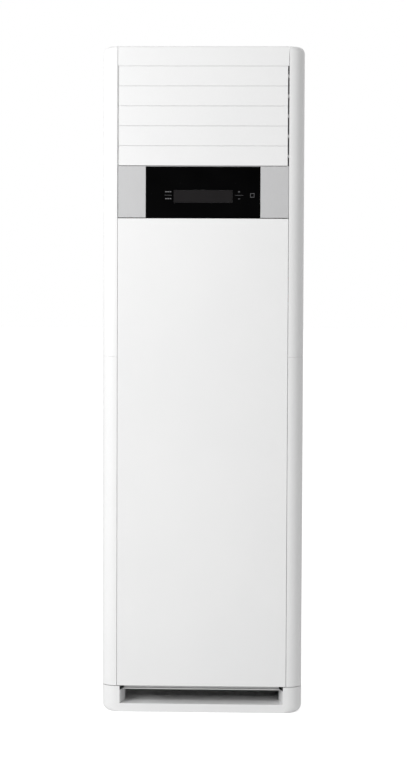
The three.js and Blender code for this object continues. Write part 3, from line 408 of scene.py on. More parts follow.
def metal(name, color, dark, roughness, streaks=(1, 1, 1), scale=120.0, metallic=1.0):
    made = Finish(name)
    tone = made.noise(scale, 4.0, made.stretched(*streaks))
    return made.surface(BaseColor=made.mix(made.spread(tone, 0.3, 0.7), color, dark), Metallic=metallic,
                        Roughness=roughness + made.spread(tone, 0.3, 0.7, -0.06, 0.08),
                        Normal=made.bump(tone, 0.1, 0.02 * mm))


def beadFoam():
    made = Finish("bead_foam")
    beads = made.cells(330.0, feature="F1")
    # the colour darkens towards each bead's rim, where the bump sinks: painted shade in the creases between
    # the beads
    edge = made.spread(beads, 0.25, 0.75)
    return made.surface(BaseColor=made.mix(edge, (0.83, 0.83, 0.81), (0.66, 0.66, 0.64)), Roughness=0.82,
                        Normal=made.bump(1 - beads, 0.6, 0.4 * mm))


def filterNet():
    # an open weave painted on a solid sheet: threads along Y and Z on a pitch that reads as fine netting, and
    # painted shade in the openings between them
    made = Finish("filter_net")
    pitch = 2.4 * mm
    threads = []
    for name in ("Y", "Z"):
        wave = made.maths("SINE", made.axis(name) * (2 * math.pi / pitch))
        threads.append(made.maths("MAXIMUM", wave, -1.0))
    weave = made.maths("MAXIMUM", threads[0], threads[1])
    # between the threads the colour is near-black, painted shade of the dark space behind the weave; the
    # threads keep a dark grey of their own
    over = made.spread(weave, 0.2, 0.9)
    return made.surface(BaseColor=made.mix(over, (0.02, 0.022, 0.024), (0.16, 0.17, 0.18)), Roughness=0.7,
                        Normal=made.bump(weave, 0.7, 0.4 * mm))


def circuitBoard():
    made = Finish("circuit_lacquer")
    lines = made.cells(210.0, feature="F1", output="Distance", vector=made.stretched(1, 1, 0.25),
                       randomness=0.35)
    tracks = made.spread(lines, 0.42, 0.5)
    return made.surface(BaseColor=made.mix(tracks, (0.012, 0.085, 0.035), (0.04, 0.2, 0.09)), Roughness=0.34,
                        Normal=made.bump(tracks, 0.3, 0.05 * mm))


white = casingWhite()
silver = silverLacquer()
blackGlass = gloss("black_glass", (0.0004, 0.0004, 0.0005), 0.08, 1.07, 0.02, 0.0012)
smokedLens = gloss("smoked_lens", (0.0135, 0.0125, 0.013), 0.2, 1.12, 0.04, 0.003)
paleInk = matt("pale_ink", (0.16, 0.16, 0.165), 0.6)
innerPlastic = matt("inner_plastic", (0.55, 0.56, 0.57), 0.5)
darkPlastic = matt("dark_plastic", (0.045, 0.045, 0.05), 0.55)
wheelPlastic = matt("wheel_plastic", (0.085, 0.09, 0.095), 0.5)
zinc = zincSheet()
finMetal = metal("fin_aluminium", (0.68, 0.71, 0.74), (0.52, 0.56, 0.6), 0.34, (8, 1, 1))
copperTube = metal("copper_tube", (0.78, 0.42, 0.27), (0.6, 0.27, 0.15), 0.3, (1, 1, 0.2))
motorPaint = metal("motor_paint", (0.2, 0.21, 0.22), (0.15, 0.155, 0.165), 0.42, metallic=0.3)
foam = beadFoam()
netting = filterNet()
boardGreen = circuitBoard()
print("materials made:", len(bpy.data.materials))


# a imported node's own shape, joined up and with its flat faces made whole, ready to be finished

def fromNode(node, flat=1.0):
    bm = bmesh.new()
    bm.from_mesh(frame["nodes"][node].data)
    bmesh.ops.remove_doubles(bm, verts=bm.verts, dist=2e-5)
    bmesh.ops.dissolve_limit(bm, angle_limit=math.radians(flat), use_dissolve_boundaries=False,
                             verts=bm.verts, edges=bm.edges, delimit=set())
    bmesh.ops.recalc_face_normals(bm, faces=bm.faces)
    return bm


def bodyOf(node):
    return next(name for name, nodes in frame["record"]["behaviour"]["bodies"].items() if node in nodes)


def slotOf(node):
    return next(part["material_slot"] for part in frame["record"]["subparts"] if part["node"] == node)


def refine(node, material, radius, segments=2, angle=28):
    piece = toObject(node + "_finished", fromNode(node))
    soften(piece, radius, segments, angle)
    return dress(piece, material, slotOf(node), bodyOf(node), node)


# casing: one skin with the corner radii, cut into panels at the seams

casingShape = {
    "frontRadius": 40 * mm,
    "backRadius": 12 * mm,
    "topRadius": 18 * mm,
    "footRadius": 20 * mm,
    "brow": 8 * mm,
    "wall": 2.6 * mm,
    "returnDepth": 12 * mm,  # inward fold of a column beside the front pieces
    "edge": 0.55 * mm,  # radius along every panel edge
    "cornerSteps": 12,
    "roundSteps": 7,
}


def planOutline():
    shape = casingShape
    front, rear, steps = shape["frontRadius"], shape["backRadius"], shape["cornerSteps"]
    x, y0, y1 = halfWidth, frontY, backY
    return (arc(x - front, y0 + front, front, -90, 0, steps)
            + arc(x - rear, y1 - rear, rear, 0, 90, steps // 2)
            + arc(rear - x, y1 - rear, rear, 90, 180, steps // 2)
            + arc(front - x, y0 + front, front, 180, 270, steps))


def roundedIn(radius, distance):
    # how far a rounded edge has drawn in, at a distance from the edge's plane
    if distance >= radius:
        return 0.0
    return radius - math.sqrt(radius * radius - (radius - distance) ** 2)


def casingLevels():
    shape = casingShape
    steps = shape["roundSteps"]
    foot = [shape["footRadius"] * (1 - math.cos(math.pi / 2 * i / steps)) for i in range(steps + 1)]
    top = [shape["topRadius"] * (1 - math.cos(math.pi / 2 * i / steps)) for i in range(steps + 1)]
    brow = [shape["brow"] * (1 - math.cos(math.pi / 2 * i / steps)) for i in range(1, steps)]
    heights = foot + [topZ - value for value in top + brow]
    levels = []
    for z in sorted(heights):
        side = max(roundedIn(shape["footRadius"], z), roundedIn(shape["topRadius"], topZ - z))
        levels.append((z, side, roundedIn(shape["brow"], topZ - z)))
    return levels


def casingSkin():
    bm = bmesh.new()
    outline = planOutline()
    levels = casingLevels()

    def placed(index, level):
        (x, y), (z, side, brow) = outline[index], level
        return Vector((x - math.copysign(side, x), y + (brow if y < 0 else 0), z))

    ring = [bm.verts.new(placed(i, levels[0])) for i in range(len(outline))]
    lid = bm.faces.new(ring)
    for below, level in zip(levels, levels[1:]):
        grown = bmesh.ops.extrude_face_region(bm, geom=[lid], use_keep_orig=True)["geom"]
        if below is not levels[0]:
            bmesh.ops.delete(bm, geom=[lid], context="FACES_ONLY")
        lid = next(g for g in grown if isinstance(g, bmesh.types.BMFace))
        for vert in lid.verts:
            index = min(range(len(outline)), key=lambda i: (placed(i, below) - vert.co).length)
            vert.co = placed(index, level)
    bmesh.ops.recalc_face_normals(bm, faces=bm.faces)
    return bm


masterSkin = casingSkin()


def keepSide(bm, point, normal):
    # removes what lies on the side that the normal points to
    bmesh.ops.bisect_plane(bm, geom=list(bm.verts) + list(bm.edges) + list(bm.faces), plane_co=point,
                           plane_no=normal, clear_outer=True, dist=1e-7)


def skinBetween(lowCorner, highCorner):
    bm = masterSkin.copy()
    for axis in range(3):
        normal = Vector((0, 0, 0))
        normal[axis] = 1
        if highCorner[axis] is not None:
            keepSide(bm, normal * highCorner[axis], normal)
        if lowCorner[axis] is not None:
            keepSide(bm, normal * lowCorner[axis], -normal)
    return bm


def foldIn(bm, test, offset):
    # a return flange along the open edges that pass the test
    rim = [e for e in bm.edges if e.is_boundary and all(test(v.co) for v in e.verts)]
    grown = bmesh.ops.extrude_edge_only(bm, edges=rim)["geom"]
    bmesh.ops.translate(bm, verts=[g for g in grown if isinstance(g, bmesh.types.BMVert)], vec=offset)
    bmesh.ops.recalc_face_normals(bm, faces=bm.faces)


def casingSheet(name, bm, cutters=()):
    for face in bm.faces:
        face.smooth = True
    piece = toObject(name, bm)
    thicken(piece, casingShape["wall"])
    if cutters:
        cutOut(piece, *cutters)
    return soften(piece, casingShape["edge"])


def columnPanel(side, level):
    bottom = low(f"{level}_side_panel_right").z
    top = high(f"{level}_side_panel_right").z
    rear = high(f"{level}_side_panel_right").y
    bm = skinBetween((columnX, None, bottom), (None, rear, top if level == "lower" else None))
    foldIn(bm, lambda co: abs(co.x - columnX) < 1e-5 and co.y < frontY + 0.05 * mm,
           (0, casingShape["returnDepth"], 0))
    flange = [f for f in bm.faces if abs(f.calc_center_median().x - columnX) < 1e-5]
    if side < 0:
        bmesh.ops.scale(bm, verts=bm.verts, vec=(-1, 1, 1))
    bm.normal_update()
    for face in bm.faces:
        if face.normal.dot(outwardAt(face, side, face in flange)) < 0:
            face.normal_flip()
    return bm


def outwardAt(face, side, inFlange):
    # the way that a column's face should look
    if inFlange:
        return Vector((-side, 0, 0))
    centre = face.calc_center_median()
    beside = 1 if abs(centre.x) > columnX + 2 * mm else 0.2
    return Vector((side * beside, -0.5 if centre.y < 0 else 0, 1 if centre.z > topZ - 2 * mm else 0))


grilleShape = {"gap": 0.8 * mm, "radius": 24 * mm}


def grilleCutter(side):
    corner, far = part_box("side_intake_grille_right")
    gap = grilleShape["gap"]
    bm = bmesh.new()
    outline = roundedOutline(corner.y - gap, far.y + gap, corner.z - gap, far.z + gap,
                             grilleShape["radius"] + gap, 8)
    deep = 20 * mm
    face = drawOutline(bm, outline, lambda u, v: (side * (halfWidth - deep), u, v))
    extrudeBy(bm, [face], (side * 2 * deep, 0, 0))
    return toObject("cutter", tidy(bm))


def makeColumns():
    for side, word in ((1, "right"), (-1, "left")):
        upper = casingSheet(f"upper_column_{word}", columnPanel(side, "upper"))
        dress(upper, white, "white_casing", "casing", f"upper_side_panel_{word}")
        lower = casingSheet(f"lower_column_{word}", columnPanel(side, "lower"), cutters=[grilleCutter(side)])
        dress(lower, white, "white_casing", "casing", f"lower_side_panel_{word}")


makeColumns()
print("side columns made")


def makeTopAndBack():
    start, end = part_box("top_cover")
    bm = skinBetween((start.x, start.y, topZ - 3 * mm), (end.x, end.y, None))
    piece = casingSheet("top_lid", bm)
    dress(piece, white, "white_casing", "casing", "top_cover")
    for level in ("lower", "upper"):
        start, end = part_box(f"rear_panel_{level}")
        bm = skinBetween((None, start.y, start.z), (None, None, end.z if level == "lower" else None))
        piece = toObject(f"back_{level}", bm)
        thicken(piece, casingShape["wall"])
        if level == "lower":
            hole = bmesh.new()
            rodMesh(hole, "y", (pipeExit["x"], backY, pipeExit["z"]), pipeExit["radius"], 40 * mm, 40)
            cutOut(piece, toObject("cutter", hole))
        soften(piece, casingShape["edge"])
        dress(piece, white, "white_casing", "casing", f"rear_panel_{level}")


pipeExit = {"x": -170 * mm, "z": 150 * mm, "radius": 36 * mm}
makeTopAndBack()
print("top and back made")


# front panel, plinth with its slot, and the cross rail over it

panelShape = {"rim": 14 * mm, "edge": 1.1 * mm, "rib": 7 * mm, "ribs": 5, "seam": 0.9 * mm}


def makeFrontPanel():
    start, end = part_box("lower_front_panel")
    wall, rim = casingShape["wall"], panelShape["rim"]
    bm = bmesh.new()
    boxMesh(bm, start.x, end.x, start.y, start.y + rim, start.z, end.z - panelShape["seam"])
    back = [f for f in bm.faces if f.normal.y > 0.9]
    bmesh.ops.inset_region(bm, faces=back, thickness=wall)
    bmesh.ops.translate(bm, verts=list({v for f in back for v in f.verts}), vec=(0, wall - rim, 0))
    for i in range(1, panelShape["ribs"] + 1):
        z = start.z + (end.z - start.z) * i / (panelShape["ribs"] + 1)
        boxMesh(bm, start.x + wall, end.x - wall, start.y + wall, start.y + wall + panelShape["rib"],
                z, z + wall)
    bmesh.ops.recalc_face_normals(bm, faces=bm.faces)
    front = [e for e in bm.edges if all(abs(v.co.y - start.y) < 1e-6 for v in e.verts)]
    bmesh.ops.bevel(bm, geom=front, offset=panelShape["edge"], segments=3, profile=0.5, affect="EDGES",
                    material=-1)
    piece = toObject("front_panel", bm)
    soften(piece, 0.3 * mm, 1, 40)
    dress(piece, white, "white_casing", "casing", "lower_front_panel")


makeFrontPanel()
refine("front_cross_rail", white, 0.6 * mm)
print("front panel made")

slotShape = {
    "half": 225 * mm,
    "cheekInset": 12 * mm,
    "cheekDepth": 55 * mm,
    "depth": 88 * mm,  # of the slot's floor
    "floor": 23.5 * mm,
    "rise": 7 * mm,
    "steps": 8,
    "edge": 0.7 * mm,
    "seam": 1.2 * mm,  # between the plinth and the columns
}


def plinthFloor(bm):
    # the floor of the slot curves up slightly towards its back edge
    shape = slotShape
    wall = casingShape["wall"]
    start = frontY + wall * 0.4
    curve = [(i / shape["steps"]) for i in range(shape["steps"] + 1)]
    top = [(start + shape["depth"] * t, shape["floor"] + shape["rise"] * t * t) for t in curve]
    profile = top + [(y, z - wall) for y, z in reversed(top)]
    face = drawOutline(bm, profile, lambda u, v: (-shape["half"] - wall, u, v))
    extrudeBy(bm, [face], (2 * (shape["half"] + wall), 0, 0))


def plinthCheek(bm, side):
    # the slanted end of the slot reaches up to the rail
    shape = slotShape
    wall = casingShape["wall"]
    start, back = frontY + wall * 0.4, frontY + shape["cheekDepth"]
    mouth, end = shape["half"], shape["half"] - shape["cheekInset"]
    profile = [(mouth, start), (end, back), (end + wall, back), (mouth + wall, start)]
    top = low("front_cross_rail").z - hair
    face = drawOutline(bm, profile, lambda u, v: (side * u, v, shape["floor"] - wall / 2))
    extrudeBy(bm, [face], (0, 0, top - shape["floor"] + wall / 2))


def makePlinth():
    shape = slotShape
    top = baseTopZ - shape["seam"]
    shell = toObject("plinth", skinBetween((None, None, None), (None, None, top)))
    thicken(shell, casingShape["wall"])
    mouth = bmesh.new()
    boxMesh(mouth, -shape["half"], shape["half"], frontY - 10 * mm, frontY + 10 * mm, shape["floor"],
            baseTopZ + 10 * mm)
    cutOut(shell, toObject("cutter", mouth))
    liner = bmesh.new()
    plinthFloor(liner)
    for side in (-1, 1):
        plinthCheek(liner, side)
    bmesh.ops.recalc_face_normals(liner, faces=liner.faces)
    joinTo(shell, toObject("plinth_lining", liner))
    soften(shell, shape["edge"], 2, 35)
    dress(shell, white, "white_casing", "casing", "base_plinth")


makePlinth()
print("plinth made")
# outlet: louvers, their frame and what moves them

louverShape = {
    "edge": 2.4 * mm,  # thickness at the long edges
    "bulge": 10.5 * mm,  # thickness at the middle
    "lip": 0.9 * mm,  # thickness of the lip behind the next louver's edge
    "lipUp": 1.2 * mm,
    "lipGap": 0.3 * mm,
    "leftEnd": 3.7 * mm,  # from the column to the blade's left end
    "rightEnd": 3.9 * mm,
    "pivotDepth": 8 * mm,  # behind the front face
    "pin": 3 * mm,
    "crankPin": 1.6 * mm,
    "crank": 20 * mm,
    "crankAngle": 40,
    "lever": 3 * mm,
    "leverHalf": 5 * mm,
    "backSteps": 16,
}
linkShape = {"front": 0.3 * mm, "thickness": 1.2 * mm}  # flat bar beside the blades' right ends


def louverCount():
    return sum(1 for name in frame["nodes"] if name.startswith("louver_") and name[-1].isdigit())


def louverPivots():
    boxes = [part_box(f"louver_{i + 1}") for i in range(louverCount())]
    return [(start.z + end.z) / 2 for start, end in boxes]


def louverSection(z0, z1):
    # seen along the blade: a flat face, thin long edges, a lip and a rounded back
    shape = louverShape
    steps = shape["backSteps"]
    edgeY = frontY + shape["edge"]
    lipY = edgeY + shape["lipGap"]
    back = []
    for i in range(1, steps):
        bow = math.sin(math.pi * i / steps)
        z = z1 + (z0 - z1) * i / steps
        if z < z1 - 3 * mm:
            back.append((edgeY + (shape["bulge"] - shape["edge"]) * bow, z))
    lip = [(lipY, z1), (lipY, z1 + shape["lipUp"]), (lipY + shape["lip"], z1 + shape["lipUp"]),
           (lipY + shape["lip"], z1 - 1.5 * mm)]
    return [(frontY, z0), (frontY, z1)] + lip + back + [(edgeY, z0)]


def louverLever(bm, pivot, right):
    # a flat arm with round ends, and the pin that the link bar hangs on
    shape = louverShape
    angle = math.radians(shape["crankAngle"])
    along = Vector((math.cos(angle), math.sin(angle)))
    start = Vector(pivot)
    reach = start + along * shape["crank"]
    turn = shape["crankAngle"]
    outline = (arc(reach.x, reach.y, shape["leverHalf"], turn - 90, turn + 90, 12)
               + arc(start.x, start.y, shape["leverHalf"], turn + 90, turn + 270, 12))
    face = drawOutline(bm, outline, lambda u, v: (right - shape["lever"], u, v))
    extrudeBy(bm, [face], (shape["lever"], 0, 0))
    pinEnd = right + linkShape["front"] + linkShape["thickness"]
    rodMesh(bm, "x", ((right + pinEnd) / 2, reach.x, reach.y), shape["crankPin"], pinEnd - right + 1 * mm, 16)


def makeLouver(index):
    node = f"louver_{index}"
    shape = louverShape
    start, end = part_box(node)
    left, right = shape["leftEnd"] - columnX, columnX - shape["rightEnd"]
    pivot = (frontY + shape["pivotDepth"], (start.z + end.z) / 2)
    bm = bmesh.new()
    face = drawOutline(bm, louverSection(start.z, end.z), lambda u, v: (left, u, v))
    extrudeBy(bm, [face], (right - left, 0, 0))
    louverLever(bm, pivot, right)
    for blade, tip in ((left, start.x), (right, end.x)):
        middle, length = (blade + tip) / 2, abs(tip - blade)
        rodMesh(bm, "x", (middle, *pivot), shape["pin"], length + 1 * mm, 20)
    bmesh.ops.recalc_face_normals(bm, faces=bm.faces)
    piece = toObject(f"louver_blade_{index}", bm)
    soften(piece, 0.35 * mm, 2, 35)
    dress(piece, white, "white_casing", node, node)


def makeLink():
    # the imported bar, moved out to lie beside the blades' ends
    bm = fromNode("louver_link")
    inner = columnX - louverShape["rightEnd"] + linkShape["front"]
    middle = (low("louver_link").x + high("louver_link").x) / 2
    for vert in bm.verts:
        vert.co.x = inner if vert.co.x < middle else inner + linkShape["thickness"]
    piece = toObject("louver_link_bar", bm)
    soften(piece, 0.25 * mm)
    dress(piece, innerPlastic, "inner_plastic", bodyOf("louver_link"), "louver_link")


def makeCrank():
    # its pin grows to reach the moved bar
    bm = fromNode("louver_crank")
    pinTip = high("louver_link").x
    reach = columnX - louverShape["rightEnd"] + linkShape["front"] + linkShape["thickness"]
    pinY = low("louver_crank").y
    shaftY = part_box("louver_motor")[0].y + (high("louver_motor").y - low("louver_motor").y) / 2
    for vert in bm.verts:
        onShaft = abs(vert.co.y - shaftY) < 4 * mm and vert.co.x > pinTip + 1 * mm
        if abs(vert.co.x - pinTip) < 1.2 * mm and not onShaft and vert.co.y > pinY:
            vert.co.x = reach
    piece = toObject("louver_motor_crank", bm)
    soften(piece, 0.25 * mm)
    dress(piece, innerPlastic, "inner_plastic", bodyOf("louver_crank"), "louver_crank")


outletShape = {"fingerHalf": 5.2 * mm, "openDepth": 33 * mm, "recess": 1.1 * mm, "recessBack": 84 * mm,
               "lipFoot": 27.3 * mm, "lipDepth": 1.6 * mm}


def cheekComb():
    # what the right cheek leaves open in front: all but a round-ended finger at every pivot
    shape = outletShape
    inner = centreX - 2.4 * mm
    y0, y1 = frontY - 3 * mm, frontY + shape["openDepth"]
    pivotY = frontY + louverShape["pivotDepth"]
    bottom, top = low("louver_1").z - 0.8 * mm, high(f"louver_{louverCount()}").z + 1.2 * mm
    outline = [(y0, bottom), (y1, bottom)]
    for z in louverPivots():
        outline.append((y1, z - shape["fingerHalf"]))
        outline += [(v, w) for v, w in arc(pivotY, z, shape["fingerHalf"], 270, 90, 12)]
        outline.append((y1, z + shape["fingerHalf"]))
    outline += [(y1, top), (y0, top)]
    bm = bmesh.new()
    face = drawOutline(bm, outline, lambda u, v: (inner, u, v))
    extrudeBy(bm, [face], (centreX + 1 * mm - inner, 0, 0))
    return toObject("cutter", tidy(bm))


def linkRecess():
    shape = outletShape
    inner = centreX - 2.2 * mm
    bm = bmesh.new()
    boxMesh(bm, inner - 1 * mm, inner + shape["recess"], frontY + 12 * mm, frontY + shape["recessBack"],
            low("louver_1").z + 2 * mm, high(f"louver_{louverCount()}").z - 1 * mm)
    return toObject("cutter", bm)


def bandLip():
    # a thin lip under the band that narrows the line over the top louver
    shape = outletShape
    bottom = louverPivots()[-1] + shape["lipFoot"]
    bm = bmesh.new()
    boxMesh(bm, -centreX, centreX, frontY, frontY + shape["lipDepth"], bottom, bottom + 3 * mm)
    return toObject("lip", bm)


def makeOutletFrame():
    piece = toObject("outlet_frame_finished", fromNode("outlet_frame"))
    joinTo(piece, bandLip())
    cutOut(piece, cheekComb(), linkRecess())
    soften(piece, 0.4 * mm)
    dress(piece, white, "white_casing", "casing", "outlet_frame")


for louverIndex in range(louverCount()):
    makeLouver(louverIndex + 1)
makeLink()
makeCrank()
makeOutletFrame()
refine("vane_link", innerPlastic, 0.35 * mm)
for name in [n for n in frame["nodes"] if n.startswith("vane_") and n[-1].isdigit()]:
    refine(name, innerPlastic, 0.5 * mm)
print("louvers made")
# control strip: silver ends, black glass with plain marks, smoked window

stripShape = {
    "trimBack": 0.05 * mm,
    "topGap": 1.0 * mm,  # dark line over the strip
    "leftGap": 1.3 * mm,
    "edge": 0.5 * mm,
    "windowGap": 0.25 * mm,
    "markDepth": 0.15 * mm,  # the glass lies this far behind its printed marks
    "line": 0.9 * mm,  # width of a printed line
}


def stripPiece(name, node, material, slotName, cuts=(), leftGap=0.0, setBack=0.0):
    start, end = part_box(node)
    bm = bmesh.new()
    boxMesh(bm, start.x + leftGap, end.x, start.y + setBack, end.y, start.z, end.z - stripShape["topGap"])
    piece = toObject(name, bm)
    if cuts:
        cutOut(piece, *cuts)
    soften(piece, stripShape["edge"], 3)
    dress(piece, material, slotName, "casing", node)


def windowCutter():
    start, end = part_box("display_window")
    gap = stripShape["windowGap"]
    bm = bmesh.new()
    boxMesh(bm, start.x - gap, end.x + gap, start.y - 5 * mm, end.y + 5 * mm, start.z - gap, end.z + gap)
    return toObject("cutter", bm)


def markPlate(bm, x, z, width, height):
    y = low("control_glass").y
    depth = stripShape["markDepth"]
    boxMesh(bm, x - width / 2, x + width / 2, y, y + depth, z - height / 2, z + height / 2)


def markSquare(bm, x, z, size, line):
    for side in (-1, 1):
        markPlate(bm, x + side * (size - line) / 2, z, line, size)
        markPlate(bm, x, z + side * (size - line) / 2, size - 2 * line, line)


def makeMarks():
    # plain signs beside the window: bars for legends, a plus, a minus and a square
    window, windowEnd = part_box("display_window")
    line = stripShape["line"]
    upper = windowEnd.z - 4.6 * mm
    lower = window.z + 10.6 * mm
    middle = (upper + lower) / 2
    bm = bmesh.new()
    for z in (upper, lower):
        for i in range(3):
            markPlate(bm, window.x - (9 + 6 * i) * mm, z, 4.4 * mm, 2.6 * mm)
    markPlate(bm, window.x - 15 * mm, middle, 20 * mm, 0.5 * mm)
    keyX = windowEnd.x + 18 * mm
    markPlate(bm, keyX, upper, 5.4 * mm, line)
    for side in (-1, 1):
        markPlate(bm, keyX, upper + side * 1.6 * mm, line, 2.2 * mm)
    markPlate(bm, keyX, lower, 5.4 * mm, line)
    markPlate(bm, keyX, middle, 22 * mm, 0.5 * mm)
    markSquare(bm, keyX + 36 * mm, middle, 11 * mm, line)
    piece = toObject("glass_marks", bm, smooth=False)
    dress(piece, paleInk, "silver_trim", "casing")


stripPiece("trim_right", "display_trim_right", silver, "silver_trim", setBack=stripShape["trimBack"])
stripPiece("trim_left", "display_trim_left", silver, "silver_trim", leftGap=stripShape["leftGap"],
           setBack=stripShape["trimBack"])
stripPiece("glass", "control_glass", blackGlass, "black_glass", [windowCutter()],
           setBack=stripShape["markDepth"])
refine("display_window", smokedLens, 0.3 * mm)
makeMarks()
print("control strip made")


# inside: blower, coil, pipes and boxes

def spinMesh(bm, centre, profile, segments=96):
    # a closed profile of (radius, y) turned about an axis along Y
    centre = Vector((centre[0], 0, centre[1]))
    verts = [bm.verts.new(centre + Vector((radius, y, 0))) for radius, y in profile]
    edges = [bm.edges.new((verts[i - 1], verts[i])) for i in range(len(verts))]
    bmesh.ops.spin(bm, geom=verts + edges, cent=centre, axis=(0, 1, 0), dvec=(0, 0, 0),
                   angle=2 * math.pi, steps=segments, use_merge=True)


def ringProfile(inner, outer, y0, y1):
    return [(inner, y0), (outer, y0), (outer, y1), (inner, y1)]


def bentPath(corners, bend, steps=8):
    # straight runs with a round bend at every inner corner
    corners = [Vector(corner) for corner in corners]
    path = [corners[0]]
    for before, corner, after in zip(corners, corners[1:], corners[2:]):
        into, out = (before - corner).normalized(), (after - corner).normalized()
        half = into.angle(out) / 2
        reach = bend / math.tan(half)
        centre = corner + (into + out).normalized() * (bend / math.sin(half))
        start, end = corner + into * reach - centre, corner + out * reach - centre
        path += [centre + start.slerp(end, i / steps).normalized() * bend for i in range(steps + 1)]
    return path + [corners[-1]]


def tubeMesh(bm, path, radius, segments=20):
    # rings along the path, joined up and closed at both ends
    before = None
    for i, point in enumerate(path):
        ahead, behind = path[min(i + 1, len(path) - 1)], path[max(i - 1, 0)]
        turn = (ahead - behind).normalized().to_track_quat("Z", "X").to_matrix().to_4x4()
        made = bmesh.ops.create_circle(bm, cap_ends=i in (0, len(path) - 1), segments=segments, radius=radius,
                                       matrix=Matrix.Translation(point) @ turn)
        edges = list({e for v in made["verts"] for e in v.link_edges})
        if before:
            bmesh.ops.bridge_loops(bm, edges=before + edges)
        before = edges


blowerLook = {
    "blades": 30,
    "bladeDepth": 25 * mm,
    "bladeHalf": 0.8 * mm,
    "lean": 0.16,
    "rim": 3 * mm,
    "hub": 22 * mm,
    "fillet": 14 * mm,
    "shaft": 6.3 * mm,
    "steps": 7,
}


def blowerCentre():
    start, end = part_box("blower_wheel_disk")
    return (start.x + end.x) / 2, (start.z + end.z) / 2, (end.x - start.x) / 2


def bladeOutline(angle, rim):
    look = blowerLook
    sides = []
    for shift in (-look["bladeHalf"], look["bladeHalf"]):
        side = []
        for i in range(look["steps"] + 1):
            t = i / look["steps"]
            radius = rim - look["bladeDepth"] * (1 - t)
            turn = angle + look["lean"] * t * t
            side.append((radius * math.cos(turn) - shift * math.sin(turn),
                         radius * math.sin(turn) + shift * math.cos(turn)))
        sides.append(side)
    return sides[0] + sides[1][::-1]


def makeWheel():
    look = blowerLook
    x, z, radius = blowerCentre()
    start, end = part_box("blower_wheel")
    bm = bmesh.new()
    spinMesh(bm, (x, z), ringProfile(radius - look["bladeDepth"], radius, start.y, start.y + look["rim"]))
    for i in range(look["blades"]):
        outline = bladeOutline(2 * math.pi * i / look["blades"], radius - 0.5 * mm)
        face = drawOutline(bm, outline, lambda u, v: (x + u, start.y + look["rim"] / 2, z + v))
        extrudeBy(bm, [face], (0, end.y - start.y - look["rim"] / 2, 0))
    bmesh.ops.recalc_face_normals(bm, faces=bm.faces)
    piece = toObject("wheel_blades", bm)
    soften(piece, 0.35 * mm, 2, 40)
    dress(piece, wheelPlastic, "wheel_plastic", bodyOf("blower_wheel"), "blower_wheel")


def makeWheelDisk():
    look = blowerLook
    x, z, radius = blowerCentre()
    start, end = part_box("blower_wheel_disk")
    front = end.y - look["rim"]
    hub, bore = look["hub"], look["shaft"]
    curve = look["fillet"]
    fillet = [(hub + curve - u, front - curve + v) for u, v in arc(0, 0, curve, 90, 0, 8)]
    bm = bmesh.new()
    spinMesh(bm, (x, z), [(bore, start.y), (hub, start.y)] + fillet[::-1]
             + [(radius, front), (radius, end.y), (bore, end.y)])
    bmesh.ops.recalc_face_normals(bm, faces=bm.faces)
    piece = toObject("wheel_disk", bm)
    soften(piece, 0.6 * mm)
    dress(piece, wheelPlastic, "wheel_plastic", bodyOf("blower_wheel_disk"), "blower_wheel_disk")


inletLook = {"radius": 130 * mm, "flange": 172 * mm, "bell": 12 * mm, "throat": 4 * mm, "sheet": 2 * mm}


def makeInlet():
    look = inletLook
    x, z = blowerCentre()[:2]
    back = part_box("inlet_ring")[0].y + look["sheet"]
    front = back - look["sheet"]
    mouth = look["radius"] + look["bell"]
    outer = [(mouth + u, front + look["bell"] + v) for u, v in arc(0, 0, look["bell"], 270, 180, 12)]
    small = look["bell"] - look["sheet"]
    inner = [(mouth + u, front + look["bell"] + v) for u, v in arc(0, 0, small, 180, 270, 12)]
    end = front + look["bell"] + look["throat"]
    bm = bmesh.new()
    spinMesh(bm, (x, z), [(look["flange"], back), (look["flange"], front)] + outer
             + [(look["radius"], end), (look["radius"] + look["sheet"], end)] + inner, 128)
    bmesh.ops.recalc_face_normals(bm, faces=bm.faces)
    piece = toObject("inlet_mouth", bm)
    soften(piece, 0.4 * mm)
    dress(piece, darkPlastic, "dark_plastic", "casing", "inlet_ring")


motorLook = {"body": 68 * mm, "flange": 82 * mm, "flangeDepth": 5 * mm, "round": 9 * mm, "fins": 28,
             "finRise": 2.2 * mm, "finHalf": 1.4 * mm, "bore": 6.6 * mm, "screws": 4}


def makeMotor():
    look = motorLook
    x, z = blowerCentre()[:2]
    start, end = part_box("fan_motor")
    shell = look["body"] - look["finRise"]
    y0, y1 = start.y + look["flangeDepth"], end.y
    turn = look["round"]
    corner = [(shell - turn + u, y1 - turn + v) for u, v in arc(0, 0, turn, 0, 90, 8)]
    bm = bmesh.new()
    foot = [(look["bore"], start.y), (look["flange"], start.y), (look["flange"], y0), (shell, y0)]
    spinMesh(bm, (x, z), foot + corner + [(look["bore"], y1)])
    for i in range(look["fins"]):
        place = Matrix.Translation((x, 0, z)) @ Matrix.Rotation(2 * math.pi * i / look["fins"], 4, "Y")
        verts = boxMesh(bm, shell - 1 * mm, look["body"], y0 - 1 * mm, y1 - look["round"] - 2 * mm,
                        -look["finHalf"], look["finHalf"])
        bmesh.ops.transform(bm, matrix=place, verts=verts)
    for i in range(look["screws"]):
        angle = math.pi / 4 + math.pi / 2 * i
        ring = (look["flange"] + look["body"]) / 2 + 1 * mm
        rodMesh(bm, "y", (x + ring * math.cos(angle), y0 + 1.2 * mm, z + ring * math.sin(angle)), 4.2 * mm,
                3.6 * mm, 6)
    bmesh.ops.recalc_face_normals(bm, faces=bm.faces)
    piece = toObject("motor_housing", bm)
    soften(piece, 0.5 * mm, 2, 35)
    dress(piece, motorPaint, "motor_metal", "casing", "fan_motor")


coilLook = {
    "thickness": 48 * mm,
    "slope": math.radians(57.2),
    "finPitch": 2.2 * mm,
    "fin": 0.35 * mm,
    "tube": 4.8 * mm,
    "pitch": 42 * mm,
    "rows": (-12 * mm, 12 * mm),
    "plate": 1.5 * mm,
    "gasShare": 0.3,
}


